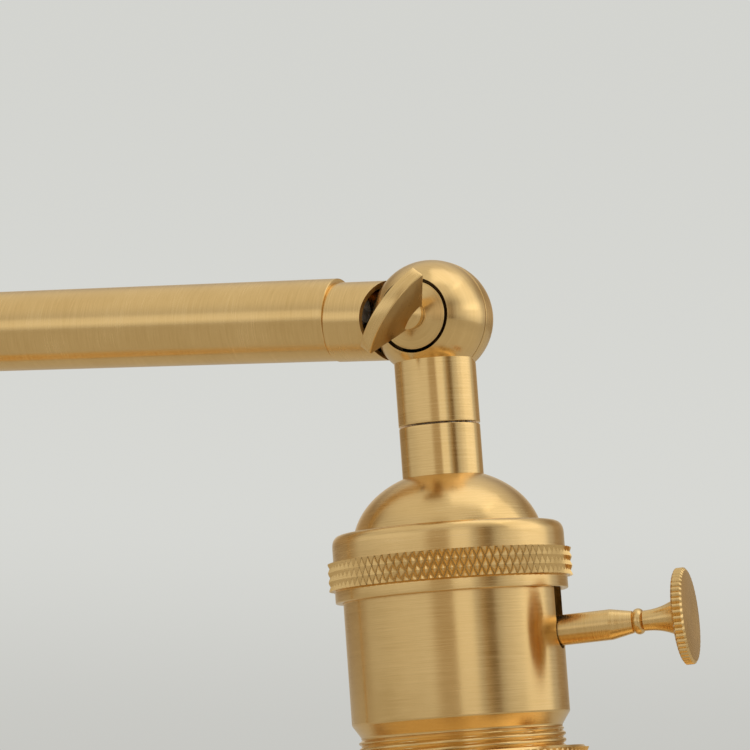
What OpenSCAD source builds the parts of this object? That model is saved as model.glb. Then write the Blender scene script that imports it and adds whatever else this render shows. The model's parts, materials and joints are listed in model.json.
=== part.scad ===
// Brass swing arm desk lamp: a weighted round base, a post, a tilting arm and a
// threaded lampholder with a turn key, hung from a ball knuckle with a wing screw.
// Origin: centre of the base's underside. +Z up, the arm points along +X at rest.

/* [Stand] */
// Outer diameter of the base
base_d = 180; // [150:1:230]
// Height of the base cover's centre above the table
base_h = 26.5; // [24:0.5:36]
// Sheet thickness of the base cover
cover_wall = 1.2; // [0.8:0.1:1.6]
// Thickness of the felt pad under the base
felt_t = 2; // [1.5:0.1:2.5]
// Height of both ball centres above the table
arm_height = 420; // [300:1:560]
// Distance from the post's axis to the wrist ball's centre
arm_reach = 320; // [220:1:440]

/* [Tube] */
// Outer diameter of the arm and post tubes
tube_d = 15; // [14.6:0.1:18]
// Wall of the tubes
tube_wall = 1; // [0.8:0.1:1.4]
// How far the arm tube's axis sits above the ball centres
tube_rise = 0.45; // [0:0.05:0.6]
// Diameter of the two-core lead inside the lamp
lead_d = 4.6; // [3.6:0.1:5]

/* [Knuckle] */
// Diameter of a knuckle's ball
ball_d = 21.2; // [20:0.1:25.4]
// Wall of a half ball
ball_wall = 2; // [1.6:0.1:2.4]
// How far back the rear half ball's centre sits
rear_set = 1.1; // [0.5:0.1:1.5]
// Gap between the two half balls
seam_gap = 0.3; // [0.2:0.05:0.4]
// Gap between a half ball and the saddle cut of the other half's sleeve
saddle_gap = 0.4; // [0.3:0.05:1]
// Diameter of the sleeve that carries the arm tube
sleeve_d = 14.4; // [13.6:0.1:14.6]
// Distance from the ball's centre to the end of the sleeve
sleeve_len = 18.34; // [16:0.1:24]
// Outer diameter of the neck
neck_d = 14.6; // [13.6:0.1:15]
// Distance from the ball's centre to the neck's swivel seam
neck_len = 19.3; // [17:0.1:25]
// Gap at the swivel seam
swivel_gap = 0.3; // [0.2:0.05:0.4]
// Length of the lower neck piece
lower_neck_len = 9; // [8:0.1:12]
// Diameter of the knuckle screw's shank
screw_d = 5; // [4:0.1:5.4]
// Diameter of the pressure disc under the wing screw
disc_d = 12.3; // [10:0.1:13]
// Gap around the pressure disc
disc_gap = 0.45; // [0.2:0.05:0.6]

/* [Wing screw] */
// Length of the wing from tip to tip
wing_len = 17; // [12:0.5:18]
// Thickness of the wing
wing_t = 2.5; // [2:0.1:3]
// Distance from the ball's centre to the middle of the wing's outer edge
wing_out = 20.8; // [18:0.1:24]
// Radius of the wing's outer edge
wing_edge_r = 11.7; // [10:0.1:16]
// Angle of the wrist's wing above the arm's line
wing_turn = 53.7; // [0:1:90]

/* [Lampholder] */
// Lean of the head away from the post at rest
head_lean = 5; // [0:0.5:9]
// Diameter of the holder's shell
shell_d = 38.7; // [38.2:0.1:39.6]
// Bore of the holder's shell
shell_bore = 34.4; // [34:0.1:35]
// Sheet thickness of the cap
cap_wall = 1.3; // [1:0.1:1.5]
// Radius of the cap's dome at its widest
dome_r = 16.95; // [15:0.1:17.5]
// Height of the cap's dome
dome_h = 13.2; // [12:0.1:16]
// Diameter of the cap's shoulder
shoulder_d = 41.3; // [40.9:0.1:42.4]
// Height of the cap's shoulder
shoulder_h = 4.95; // [4:0.1:7]
// Corner radius of the cap's shoulder
shoulder_round = 2.3; // [1:0.1:2.6]
// Diameter of the cap's knurled band
band_d = 43.4; // [42.6:0.1:45]
// Height of the cap's knurled band
band_h = 4.87; // [4:0.1:7]
// Diameter of the cap's plain lip
lip_d = 41.4; // [40.9:0.1:42.4]
// Height of the cap's plain lip
lip_h = 2.26; // [1.6:0.1:4]
// Length of plain shell below the lip
shell_plain = 21.64; // [18:0.1:28]
// Height of the chamfer between the shell and its thread
shell_chamfer = 2.27; // [1.6:0.1:3]
// Crest diameter of the shell's outer thread
thread_d = 36.6; // [36.2:0.1:37]
// Length of the shell's outer thread
thread_len = 23; // [21:0.5:26]
// Diameter of a shade ring
ring_d = 44.4; // [42:0.1:50]
// Height of a shade ring
ring_h = 5; // [4:0.1:6]
// Length of thread above the upper shade ring
ring_drop = 3.83; // [2:0.1:5]

/* [Switch key] */
// Distance of the key's axis below the holder's lip
key_drop = 8.2; // [6.5:0.1:10]
// Turn of the key around the holder from the arm's line
key_turn = 10; // [-20:1:40]
// Upward lean of the key's axis
key_lean = 1.8; // [0:0.1:2]
// Diameter of the key's stem
stem_d = 5.4; // [4.4:0.1:6]
// Distance from the holder's axis to the key disc's outer face
key_reach = 42.6; // [40:0.1:50]
// Diameter of the key's disc
key_disc_d = 17; // [12:0.1:20]
// Thickness of the key's disc
key_disc_t = 2.07; // [1.6:0.1:3]

/* [Shade and bulb] */
// Diameter of the shade's mouth
shade_d = 160; // [130:1:200]
// Depth of the shade below its collar
shade_depth = 67.5; // [64:0.5:90]
// Sheet thickness of the shade
shade_wall = 0.8; // [0.6:0.1:1.2]
// Diameter of the shade's flat collar
collar_d = 48; // [46:0.5:56]
// Diameter of the bulb's glass globe
globe_d = 45; // [40:0.5:50]

/* [Hidden] */
$fn = 72;
BRASS = "#c9a25c";
DULL_BRASS = "#a98a4f";
STEEL = "silver";
IRON = "#3c3c3e";
FIBRE = "#4a4230";
BLACK = "#222222";

// running clearance on a radius, and the clearance of a screw in its hole
run = 0.05;
ease = 0.1;
far = 60;

// base
base_r = base_d / 2;
plate_t = 1.2;
rim_round = 3;
rim_h = base_h - 8.5;
land_r = 16;
step_w = 7;
plate_top = felt_t + plate_t;
weight_r = base_r - cover_wall - 0.8;
weight_top = base_h - cover_wall;
web_t = 7.6;
recess_r = 14;
plate_screw_d = 4;
plate_screw_head_r = 3.6;
plate_screw_head_t = 1.3;
felt_inset = 2;
plate_screw_pitch = base_r * 0.62;
lead_z = plate_top + lead_d / 2 + 2;
lead_bend = 6;
bush_r = 4;
bush_flange_r = 5;
bush_bore = lead_d / 2 + 0.4;
bush_deep = 7;

// post and arm
tube_r = tube_d / 2;
tube_in = tube_r - tube_wall;
nip_m10 = 5;
nip_m10_bore = 3.2;
ball_r = ball_d / 2;
neck_r = neck_d / 2;
sleeve_r = sleeve_d / 2;
lower_neck_r = neck_r - 0.05;
screw_r = screw_d / 2;
boss_r = screw_r + 1.7;
saddle_r = ball_r + saddle_gap;
face = seam_gap / 2;
floor_out = ball_r - 4;
floor_in = floor_out - 1.6;
disc_r = disc_d / 2;
disc_top = ball_r - 1.3;
disc_dome_r = 16;
screw_tip = 7;
sleeve_bore = 5.9;
spigot_bore = 5.3;
spigot_len = 12;
neck_bore = 5.4;
grub_r = 1.6;
grub_place = sleeve_len + spigot_len / 2;

// swivel
nip_r = 4;
nip_bore = lead_d / 2 + 0.5;
seam_top = neck_len - swivel_gap / 2;
seam_low = neck_len + swivel_gap / 2;
lower_end = seam_low + lower_neck_len;
nip_top = neck_len - 6.7;
pin_r = 0.6;
groove_in = nip_r + 0.8;
groove_out = groove_in + 2 * pin_r + 0.5;
groove_deep = 1.6;
pin_seat = 1.5;
pin_place = (groove_in + groove_out) / 2;
cap_spigot = 3.15;
post_spigot = 11.5;
spring_t = 0.4;
swivel_nut_t = 3;
swivel_nut_r = 6;

// lampholder stations, measured down the head's axis from the ball's centre
shell_r = shell_d / 2;
shell_in = shell_bore / 2;
thread_r = thread_d / 2;
spigot_r = 5.5;
dome_a0 = asin(lower_neck_r / dome_r);
dome_mid = lower_end + dome_h * cos(dome_a0);
shoulder_at = dome_mid - 2.7;
band_at = shoulder_at + shoulder_h;
lip_at = band_at + band_h;
lip_end = lip_at + lip_h;
chamfer_at = lip_end + shell_plain;
thread_at = chamfer_at + shell_chamfer;
shell_top = shoulder_at + cap_wall;
shell_end = thread_at + thread_len;
relief = 0.15;
ring_r = ring_d / 2;
ring_at = thread_at + ring_drop;
collar_at = ring_at + ring_h;
lower_ring_at = collar_at + shade_wall;

// inside the lampholder
key_at = lip_end + key_drop;
core_r = shell_in - 1.4;
core_top = lip_end - 5.8;
core_floor = key_at + 5.6;
core_end = shell_end - 4;
cavity_r = 6.5;
cavity_top = key_at - 6;
socket_r = 13.5;
socket_wall = 0.5;
terminal_place = 9.2;
terminal_head = 2.8;

// key
slot_r = stem_d / 2 + 0.5;
slot_w = 2 * slot_r - 0.8;
spindle_r = 1.9;
stem_start = shell_in + 0.9;

// shade and bulb
shade_r = shade_d / 2;
shade_mouth = collar_at + shade_depth;
collar_r = collar_d / 2;
rim_bead = 1.5;
contact_t = 2;
bulb_at = core_floor + contact_t;
bulb_cap_r = socket_r - 0.4;
bulb_cap_len = 21;
globe_r = globe_d / 2;
globe_mid = bulb_at + 1.1 + 2.4 + bulb_cap_len + globe_r + 5;

// arc of a circle as points, from angle a0 to a1
function arc(cx, cy, r, a0, a1, n = 8) =
  [for (i = [0:n]) let (a = a0 + (a1 - a0) * i / n) [cx + r * cos(a), cy + r * sin(a)]];
// arc of an ellipse round (0, mid), as [radius, distance down the axis]
function bell(rx, ry, mid, a0, a1, n = 12) =
  [for (i = [0:n]) let (a = a0 + (a1 - a0) * i / n) [max(0, rx * sin(a)), mid - ry * cos(a)]];

// a solid of revolution whose profile is [radius, distance below the origin]
module hang(profile) {
  rotate_extrude() polygon([for (p = profile) [p[0], -p[1]]]);
}
// a tube on the axis, from distance a to distance b below the origin
module drop_tube(r, bore, a, b) {
  translate([0, 0, -b]) difference() {
    cylinder(r = r, h = b - a);
    if (bore > 0) translate([0, 0, -1]) cylinder(r = bore, h = b - a + 2);
  }
}
// a rod along Y, from y0 to y1
module y_rod(r, y0, y1) {
  translate([0, y0, 0]) rotate([-90, 0, 0]) cylinder(r = r, h = y1 - y0);
}
// a rod along Y from y0 to y1 that ends in a half ball of its own radius
module half_ball(r, y0, y1) {
  rotate([-90, 0, 0]) rotate_extrude() polygon(concat([[0, y0], [r, y0]], arc(0, y1, r, 0, 90, 24)));
}
// a tube standing on z = 0
module stand_tube(r, bore, h) {
  difference() {
    cylinder(r = r, h = h);
    translate([0, 0, -1]) cylinder(r = bore, h = h + 2);
  }
}
// a hexagon nut below the origin
module hex_drop(r, bore, a, b) {
  translate([0, 0, -b]) difference() {
    cylinder(r = r, h = b - a, $fn = 6);
    translate([0, 0, -1]) cylinder(r = bore, h = b - a + 2);
  }
}
module at_shoulder() { translate([0, 0, arm_height]) children(); }
module at_wrist() { translate([arm_reach, 0, arm_height]) children(); }
module at_head() { at_wrist() rotate([0, -head_lean, 0]) children(); }
// the key's axis becomes +Z, starting on the holder's axis
module at_key() {
  at_head() translate([0, 0, -key_at]) rotate([0, 0, key_turn])
    rotate([0, 90 - key_lean, 0]) children();
}

// ---- base ----
// outline of the cover, drawn in by t for its inside
module base_outline(t) {
  top = base_h - t;
  polygon(concat(
    [[0, felt_t - t]], [[base_r - t, felt_t - t]],
    arc(base_r - rim_round, rim_h - rim_round, rim_round - t, 0, 90, 6),
    [[base_r - step_w - t, rim_h - t]],
    [[base_r - step_w - 2 - t, rim_h + 2 - t]],
    arc(base_r - step_w - 6, rim_h + 1.5, 3.5 - t, 55, 80, 3),
    [[land_r, top]], [[0, top]]));
}
module base_cover() {
  color(BRASS) difference() {
    rotate_extrude() base_outline(0);
    rotate_extrude() base_outline(cover_wall);
    translate([0, 0, weight_top - 5]) cylinder(r = nip_m10 + ease, h = 10);
    translate([0, base_r - 12, lead_z]) y_rod(bush_r, 0, 20);
  }
}
module base_weight() {
  color(IRON) difference() {
    rotate_extrude() polygon([
      [0, plate_top], [weight_r, plate_top], [weight_r, rim_h - 6],
      [weight_r - 3, rim_h - 3.5], [weight_r - step_w - 4, rim_h - 1],
      [land_r - 1, weight_top], [0, weight_top]]);
    translate([0, 0, -1]) cylinder(r = recess_r, h = weight_top - web_t + 1);
    cylinder(r = nip_m10 + ease, h = base_h);
    translate([-lead_d / 2 - 1, 0, 0]) cube([lead_d + 2, base_r, lead_z + lead_d / 2 + 1]);
    translate([0, weight_r - bush_deep, lead_z]) y_rod(bush_flange_r + 1, 0, 20);
    plate_screw_places() cylinder(r = plate_screw_d / 2, h = plate_top + 9);
  }
}
module plate_screw_places() {
  for (a = [30, 150, 270]) rotate([0, 0, a]) translate([plate_screw_pitch, 0, 0]) children();
}
module base_plate() {
  color(STEEL) translate([0, 0, felt_t]) difference() {
    cylinder(r = base_r - cover_wall - 0.3, h = plate_t);
    translate([0, 0, -1]) cylinder(r = recess_r - 2, h = plate_t + 2);
    translate([0, 0, -1]) plate_screw_places()
      cylinder(r = plate_screw_d / 2 + ease, h = plate_t + 2);
  }
}
module base_felt() {
  color(BLACK) difference() {
    cylinder(r = base_r - felt_inset, h = felt_t);
    translate([0, 0, felt_t - plate_screw_head_t]) plate_screw_places()
      cylinder(r = plate_screw_head_r + ease, h = plate_screw_head_t + 1);
  }
}
module base_screws() {
  color(STEEL) plate_screw_places() {
    translate([0, 0, felt_t - plate_screw_head_t]) cylinder(r = plate_screw_head_r, h = plate_screw_head_t);
    translate([0, 0, felt_t]) cylinder(r = plate_screw_d / 2, h = plate_t + 8);
  }
}
module cord_bush() {
  color(BLACK) translate([0, 0, lead_z]) difference() {
    union() {
      y_rod(bush_r, base_r - cover_wall - 5, base_r);
      y_rod(bush_flange_r, base_r + 0.05, base_r + 1.6);
      y_rod(bush_r, base_r - 1, base_r + 1);
    }
    y_rod(bush_bore, base_r - far, base_r + far);
  }
}

// ---- post ----
nip_low = lead_z + 4.2;
nut_low = weight_top - web_t - 1.5 - 4;
module post_nipple() {
  color(STEEL) translate([0, 0, nip_low]) stand_tube(nip_m10, nip_m10_bore, base_h + 10 - nip_low);
}
module post_washer() {
  color(STEEL) translate([0, 0, weight_top - web_t - 1.5]) stand_tube(10.5, nip_m10 + ease, 1.5);
}
module post_nut() {
  color(STEEL) translate([0, 0, nut_low]) difference() {
    cylinder(r = 9, h = 4, $fn = 6);
    translate([0, 0, -1]) cylinder(r = nip_m10, h = 6);
  }
}
module post_foot() {
  color(DULL_BRASS) translate([0, 0, base_h]) difference() {
    cylinder(r = tube_in, h = 16);
    translate([0, 0, -1]) cylinder(r = nip_m10, h = 12);
    cylinder(r = nip_m10_bore, h = 20);
  }
}
module post_collar() {
  color(BRASS) translate([0, 0, base_h]) rotate_extrude() polygon(concat(
    [[tube_r, 0], [tube_r + 7, 0]], arc(tube_r + 5.6, 1.6, 1.4, 0, 90, 5),
    [[tube_r + 4.2, 3]], arc(tube_r + 4.2, 6.2, 3.2, 270, 180, 6),
    [[tube_r + 1, 7.5]], arc(tube_r + 0.6, 8.6, 1.1, -60, 60, 6), [[tube_r, 10]]));
}
module post_tube() {
  color(BRASS) translate([0, 0, base_h])
    stand_tube(tube_r, tube_in, arm_height - lower_end - base_h);
}
module post_cap() {
  color(BRASS) at_shoulder() lower_neck(tube_in, post_spigot);
}
module post_stop_pin() { color(STEEL) at_shoulder() stop_pin(0, seam_top - 1.3, seam_low + pin_seat + 1); }
module post_lead() {
  color(BLACK) {
    translate([0, lead_bend, lead_z]) y_rod(lead_d / 2, 0, base_r - cover_wall - 6 - lead_bend);
    translate([0, lead_bend, lead_z + lead_bend]) rotate([90, 90, -90])
      rotate_extrude(angle = 90) translate([lead_bend, 0]) circle(r = lead_d / 2);
    translate([0, 0, lead_z + lead_bend])
      cylinder(r = lead_d / 2,
        h = arm_height - lower_end - post_spigot - 8 - lead_z - lead_bend);
  }
}

// ---- parts shared by both knuckles; the ball's centre is the origin ----
// front half ball with the neck that hangs from it
module front_half() {
  difference() {
    union() {
      intersection() {
        sphere(r = ball_r, $fn = 96);
        translate([-ball_d, -ball_d - face, -ball_d]) cube([ball_d * 2, ball_d, ball_d * 2]);
      }
      translate([0, 0, -seam_top]) cylinder(r = neck_r, h = seam_top);
    }
    y_rod(saddle_r, -face, far);
    intersection() {
      sphere(r = ball_r - ball_wall);
      translate([-ball_r, -floor_in, -ball_r]) cube([ball_d, ball_d, ball_d]);
    }
    translate([0, 0, -nip_top]) cylinder(r = neck_bore, h = nip_top);
    translate([0, 0, -seam_top - 1]) cylinder(r = nip_r, h = seam_top);
    y_rod(disc_r + disc_gap, -ball_d, -floor_out);
    y_rod(screw_r + run, -ball_d, 0);
    translate([0, 0, -seam_top - 1]) stand_tube(groove_out, groove_in, groove_deep + 1);
    stop_pin(180, seam_top - groove_deep - pin_seat, seam_top);
  }
  difference() {
    y_rod(boss_r, -floor_in - 0.2, -face);
    y_rod(screw_r + run, -ball_d, 1);
  }
}
// rear half ball with the sleeve that runs along -X
module rear_half() {
  difference() {
    union() {
      half_ball(ball_r, face, rear_set);
      translate([-sleeve_len, 0, 0]) rotate([0, 90, 0]) cylinder(r = sleeve_r, h = sleeve_len);
      translate([-sleeve_len - spigot_len, 0, tube_rise]) rotate([0, 90, 0])
        cylinder(r = tube_in, h = spigot_len);
    }
    y_rod(saddle_r, -far, face);
    half_ball(ball_r - ball_wall, 0, rear_set);
    translate([1 - sleeve_len, 0, 0]) rotate([0, 90, 0])
      cylinder(r = sleeve_bore, h = sleeve_len - 6);
    translate([-far, 0, tube_rise]) rotate([0, 90, 0]) cylinder(r = spigot_bore, h = far - 8);
    translate([-grub_place, 0, tube_rise]) y_rod(grub_r, 0, far);
  }
  difference() {
    y_rod(boss_r, face, ball_r - 0.7);
    y_rod(screw_r + run, -1, screw_tip + 0.5);
  }
}
// lower neck piece with a spigot that enters what hangs on it
module lower_neck(r, spigot) {
  difference() {
    union() {
      drop_tube(lower_neck_r, 0, seam_low, lower_end);
      drop_tube(r, 0, lower_end - 0.01, lower_end + spigot);
    }
    drop_tube(nip_r + run, 0, seam_low - 1, lower_end + spigot + 1);
    stop_pin(0, seam_low - 1, seam_low + pin_seat + 1);
  }
}
// stop pin in the swivel's groove, at an angle round the neck
module stop_pin(angle, a, b) {
  rotate([0, 0, angle]) translate([pin_place, 0, -b]) cylinder(r = pin_r, h = b - a);
}
// hollow nipple that hangs from the neck, with its spring washer and nut
module swivel_nipple(spigot) {
  drop_tube(nip_r, nip_bore, nip_top, lower_end + spigot + spring_t + swivel_nut_t + 1.4);
}
module spring_washer(spigot) {
  drop_tube(swivel_nut_r - 0.3, nip_r, lower_end + spigot + 0.05, lower_end + spigot + spring_t);
}
module nipple_nut(spigot) {
  hex_drop(swivel_nut_r, nip_r, lower_end + spigot + spring_t,
    lower_end + spigot + spring_t + swivel_nut_t);
}
// pressure disc under the wing, with a shallow dome
module pressure_disc() {
  difference() {
    intersection() {
      translate([0, disc_dome_r - disc_top, 0]) sphere(r = disc_dome_r, $fn = 200);
      y_rod(disc_r, -ball_d, -floor_out);
    }
    y_rod(screw_r + ease, -ball_d, 0);
  }
}
// wing screw, its wing turned by an angle above +X
module wing_screw(turn) {
  tip = wing_out - wing_edge_r + sqrt(pow(wing_edge_r, 2) - pow(wing_len / 2, 2));
  root = disc_top + 0.2;
  edge_a = asin(wing_len / 2 / wing_edge_r);
  y_rod(screw_r, -root - 1, screw_tip);
  y_rod(screw_r + 0.25, -root - 2.2, -disc_top - run);
  rotate([0, -turn, 0]) translate([0, 0, -wing_t / 2]) linear_extrude(wing_t)
    polygon(concat([[-2.5, -root], [2.5, -root], [wing_len / 2, -tip]],
      [for (i = [1:11]) let (a = edge_a * (1 - i / 6))
        [wing_edge_r * sin(a), -(wing_out - wing_edge_r + wing_edge_r * cos(a))]],
      [[-wing_len / 2, -tip]]));
}
module grub_screw(x) {
  translate([x, 0, tube_rise]) y_rod(grub_r, spigot_bore + 0.1, tube_r - 0.2);
}

// ---- shoulder ----
module shoulder_neck() { color(BRASS) at_shoulder() front_half(); }
module shoulder_stop_pin() {
  color(STEEL) at_shoulder() stop_pin(180, seam_top - groove_deep - pin_seat, seam_top - 0.2);
}
module shoulder_nipple() { color(STEEL) at_shoulder() swivel_nipple(post_spigot); }
module shoulder_spring_washer() { color(STEEL) at_shoulder() spring_washer(post_spigot); }
module shoulder_nipple_nut() { color(STEEL) at_shoulder() nipple_nut(post_spigot); }
module shoulder_disc() { color(BRASS) at_shoulder() pressure_disc(); }
module shoulder_wing_screw() { color(BRASS) at_shoulder() wing_screw(180 - wing_turn); }

// ---- arm ----
module shoulder_sleeve() { color(BRASS) at_shoulder() mirror([1, 0, 0]) rear_half(); }
module wrist_sleeve() { color(BRASS) at_wrist() rear_half(); }
module arm_tube() {
  color(BRASS) translate([sleeve_len, 0, arm_height + tube_rise]) difference() {
    rotate([0, 90, 0]) cylinder(r = tube_r, h = arm_reach - 2 * sleeve_len);
    translate([-1, 0, 0]) rotate([0, 90, 0]) cylinder(r = tube_in, h = arm_reach);
    for (x = [grub_place, arm_reach - grub_place]) translate([x - sleeve_len, 0, 0])
      y_rod(grub_r, 0, far);
  }
}
module arm_grub_screws() {
  color(STEEL) {
    at_shoulder() grub_screw(grub_place);
    at_wrist() grub_screw(-grub_place);
  }
}
module arm_lead() {
  color(BLACK) translate([saddle_r + 0.3, 0, arm_height]) rotate([0, 90, 0])
    cylinder(r = lead_d / 2, h = arm_reach - 2 * (saddle_r + 0.3));
}

// ---- wrist ----
module wrist_neck() { color(BRASS) at_head() front_half(); }
module wrist_stop_pin() {
  color(STEEL) at_head() stop_pin(180, seam_top - groove_deep - pin_seat, seam_top - 0.2);
}
module wrist_nipple() { color(STEEL) at_head() swivel_nipple(cap_spigot); }
module wrist_spring_washer() { color(STEEL) at_head() spring_washer(cap_spigot); }
module wrist_nipple_nut() { color(STEEL) at_head() nipple_nut(cap_spigot); }
module wrist_disc() { color(BRASS) at_head() pressure_disc(); }
module wrist_lead() {
  color(BLACK) at_head() drop_tube(lead_d / 2, 0, saddle_r + 0.4, lower_end + cap_spigot + 5.6);
}
module wrist_wing_screw() { color(BRASS) at_wrist() wing_screw(wing_turn); }

// ---- lampholder ----
module holder_neck() { color(BRASS) at_head() lower_neck(spigot_r, cap_spigot); }
module holder_stop_pin() { color(STEEL) at_head() stop_pin(0, seam_top - 1.3, seam_low + pin_seat + 1); }
module holder_lock_nut() {
  color(STEEL) at_head() hex_drop(7.6, spigot_r, lower_end + cap_wall,
    lower_end + cap_spigot - 0.1);
}
module holder_cap() {
  in_r = dome_r - cap_wall;
  in_h = dome_h - cap_wall;
  in_a0 = asin(9 / in_r);
  in_a1 = acos((dome_mid - shell_top) / in_h);
  out_a1 = acos((dome_mid - shoulder_at) / dome_h);
  corner = shoulder_d / 2 - shoulder_round;
  color(BRASS) at_head() hang(concat(
    [[spigot_r, lower_end]],
    bell(dome_r, dome_h, dome_mid, dome_a0, out_a1),
    [for (p = arc(corner, shoulder_round, shoulder_round, 270, 360, 6))
      [p[0], p[1] + shoulder_at]],
    [[shoulder_d / 2, band_at], [band_d / 2 - 0.2, band_at], [band_d / 2, band_at + 0.2],
     [band_d / 2, lip_at - 0.2], [band_d / 2 - 0.2, lip_at], [lip_d / 2, lip_at],
     [lip_d / 2, lip_end - 0.2], [lip_d / 2 - 0.2, lip_end], [shell_r, lip_end],
     [shell_r, shell_top]],
    bell(in_r, in_h, dome_mid, in_a1, in_a0),
    [[9, lower_end + cap_wall], [spigot_r, lower_end + cap_wall]]));
}
module key_hole(r, a, b) {
  translate([0, 0, -key_at]) rotate([0, 0, key_turn]) rotate([0, 90 - key_lean, 0])
    translate([0, 0, a]) cylinder(r = r, h = b - a);
}
module holder_shell() {
  color(BRASS) at_head() difference() {
    hang([[shell_in, shell_top], [shell_r, shell_top], [shell_r, chamfer_at],
      [thread_r - relief, thread_at], [thread_r - relief, thread_at + 0.8],
      [thread_r, thread_at + 0.8 + relief], [thread_r, shell_end - 0.6],
      [thread_r - 0.6, shell_end], [shell_in, shell_end]]);
    key_hole(slot_r, shell_in - 3, shell_r + 3);
    rotate([0, 0, key_turn]) translate([shell_in - 4, -slot_w / 2, -key_at])
      cube([8, slot_w, key_at]);
  }
}
module holder_liner() {
  color(FIBRE) at_head() difference() {
    drop_tube(shell_in, core_r + run, core_top, shell_end - 2);
    key_hole(spindle_r + 0.3, core_r - 2, shell_r);
  }
}
module holder_core() {
  color(BLACK) at_head() difference() {
    drop_tube(core_r, 0, core_top, core_end);
    drop_tube(socket_r + socket_wall, 0, core_floor, core_end + 1);
    drop_tube(cavity_r, 0, cavity_top, core_floor - 1.6);
    key_hole(spindle_r + run, cavity_r - 3, core_r + 1);
    for (x = [-1, 1]) translate([x * terminal_place, 0, 0]) drop_tube(1.5, 0, core_top - 1, core_top + 6);
  }
}
// straight rod between two points
module rod_between(a, b, r) {
  d = b - a;
  translate(a) rotate([0, acos(d[2] / norm(d)), atan2(d[1], d[0])]) cylinder(r = r, h = norm(d));
}
module holder_wires() {
  start = lower_end + cap_spigot + 6;
  end = core_top - 0.9;
  color(BLACK) at_head() for (x = [-1, 1])
    rod_between([x * 1.4, 0, -start], [x * (terminal_place - terminal_head - 1), 0, -end], 0.8);
}
module terminal_screws() {
  color(BRASS) at_head() for (x = [-1, 1]) translate([x * terminal_place, 0, 0]) {
    drop_tube(terminal_head, 0, core_top - 1.8, core_top);
    drop_tube(1.5, 0, core_top, core_top + 6);
  }
}
module screw_shell() {
  color(DULL_BRASS) at_head() {
    drop_tube(socket_r + socket_wall, socket_r, core_floor + 0.5, core_end - 1);
    drop_tube(socket_r + socket_wall, 9, core_floor, core_floor + 0.5);
  }
}
module centre_contact() {
  color(BRASS) at_head() {
    drop_tube(4, 0, core_floor, core_floor + 0.5);
    drop_tube(2.5, 0, core_floor + 0.5, bulb_at);
  }
}

// ---- switch key; each is turned on its own axis ----
module switch_key() {
  r = stem_d / 2;
  disc_in = key_reach - key_disc_t;
  waist = disc_in - 6.3;
  bead = disc_in - 7.25;
  color(BRASS) at_key() difference() {
    rotate_extrude() polygon(concat(
      [[0, stem_start], [r, stem_start], [r, bead - 4.9]],
      [[r * 0.72, bead - 1.1]],
      arc(r * 0.68, bead, 0.95 * r / 2.7 * 0.46 + 0.5, -80, 80, 6),
      [for (i = [0:8]) let (u = i / 8) [r * 0.66 + (r * 0.66) * pow(u, 2.2), waist + 6.3 * u]],
      [[key_disc_d / 2 - 0.15, disc_in], [key_disc_d / 2, disc_in + 0.15],
       [key_disc_d / 2, key_reach - 0.15], [key_disc_d / 2 - 0.15, key_reach], [0, key_reach]]));
    cylinder(r = spindle_r, h = stem_start + 4);
  }
}
module switch_spindle() { color(STEEL) at_key() translate([0, 0, 3]) cylinder(r = spindle_r, h = stem_start + 1); }
module switch_cam() {
  color("ivory") at_key() translate([0, 0, -2.5]) intersection() {
    cylinder(r = 3.4, h = 5.5);
    translate([-2.2, -4, 0]) cube([4.4, 8, 5.5]);
  }
}

// ---- shade and bulb ----
module shade_ring(a) {
  hang([[thread_r, a], [ring_r - 0.3, a], [ring_r, a + 0.3], [ring_r, a + ring_h - 0.3],
    [ring_r - 0.3, a + ring_h], [thread_r, a + ring_h]]);
}
module upper_shade_ring() { color(BRASS) at_head() shade_ring(ring_at); }
module lower_shade_ring() { color(BRASS) at_head() shade_ring(lower_ring_at); }
module shade() {
  out_a0 = asin(collar_r / shade_r);
  bell_h = shade_depth / cos(out_a0);
  in_r = shade_r - shade_wall;
  in_h = bell_h - shade_wall;
  in_a0 = acos((shade_depth - shade_wall) / in_h);
  color(BRASS) at_head() {
    hang(concat([[thread_r + 0.2, collar_at]], bell(shade_r, bell_h, shade_mouth, out_a0, 90, 18),
      [for (a = [0:30:270]) [shade_r - shade_wall / 2 + 0.4 + rim_bead * cos(a) * 0.99,
        shade_mouth + rim_bead * sin(a) * 0.99 + 0.2]],
      bell(in_r, in_h, shade_mouth, 88, in_a0, 18),
      [[thread_r + 0.2, collar_at + shade_wall]]));
  }
}
module bulb_contact() {
  color("silver") at_head() hang([[0, bulb_at], [4.2, bulb_at], [4.8, bulb_at + 1.1],
    [10.5, bulb_at + 3.5], [0, bulb_at + 3.5]]);
}
module bulb_cap() {
  a = bulb_at + 3.5;
  color("silver") at_head() hang([[0, a], [bulb_cap_r - 1.6, a], [bulb_cap_r, a + 1.6],
    [bulb_cap_r, a + bulb_cap_len], [bulb_cap_r - 0.5, a + bulb_cap_len],
    [bulb_cap_r - 0.5, a + 3], [0, a + 3]]);
}
module bulb_globe() {
  a = bulb_at + 3.5;
  neck = bulb_cap_r - 0.5;
  wall = 0.8;
  a0 = asin(neck / globe_r);
  a1 = asin((neck - wall) / (globe_r - wall));
  color("white", 0.4) at_head() hang(concat(
    [[neck - wall, a + 4], [neck, a + 4]],
    [for (p = bell(globe_r, globe_r, globe_mid, a0, 180, 18)) p],
    [for (p = bell(globe_r - wall, globe_r - wall, globe_mid, 180, a1, 18)) p]));
}
module bulb_filaments() {
  a = bulb_at + 3.5;
  color("khaki") at_head() {
    drop_tube(2.6, 0, a + 3, globe_mid - 8);
    for (i = [0:3]) rotate([0, 0, 90 * i + 45]) translate([2.2, 0, 0])
      drop_tube(0.8, 0, globe_mid - 8.5, globe_mid + 10);
    drop_tube(3.2, 0, globe_mid + 10, globe_mid + 11);
  }
}

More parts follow.
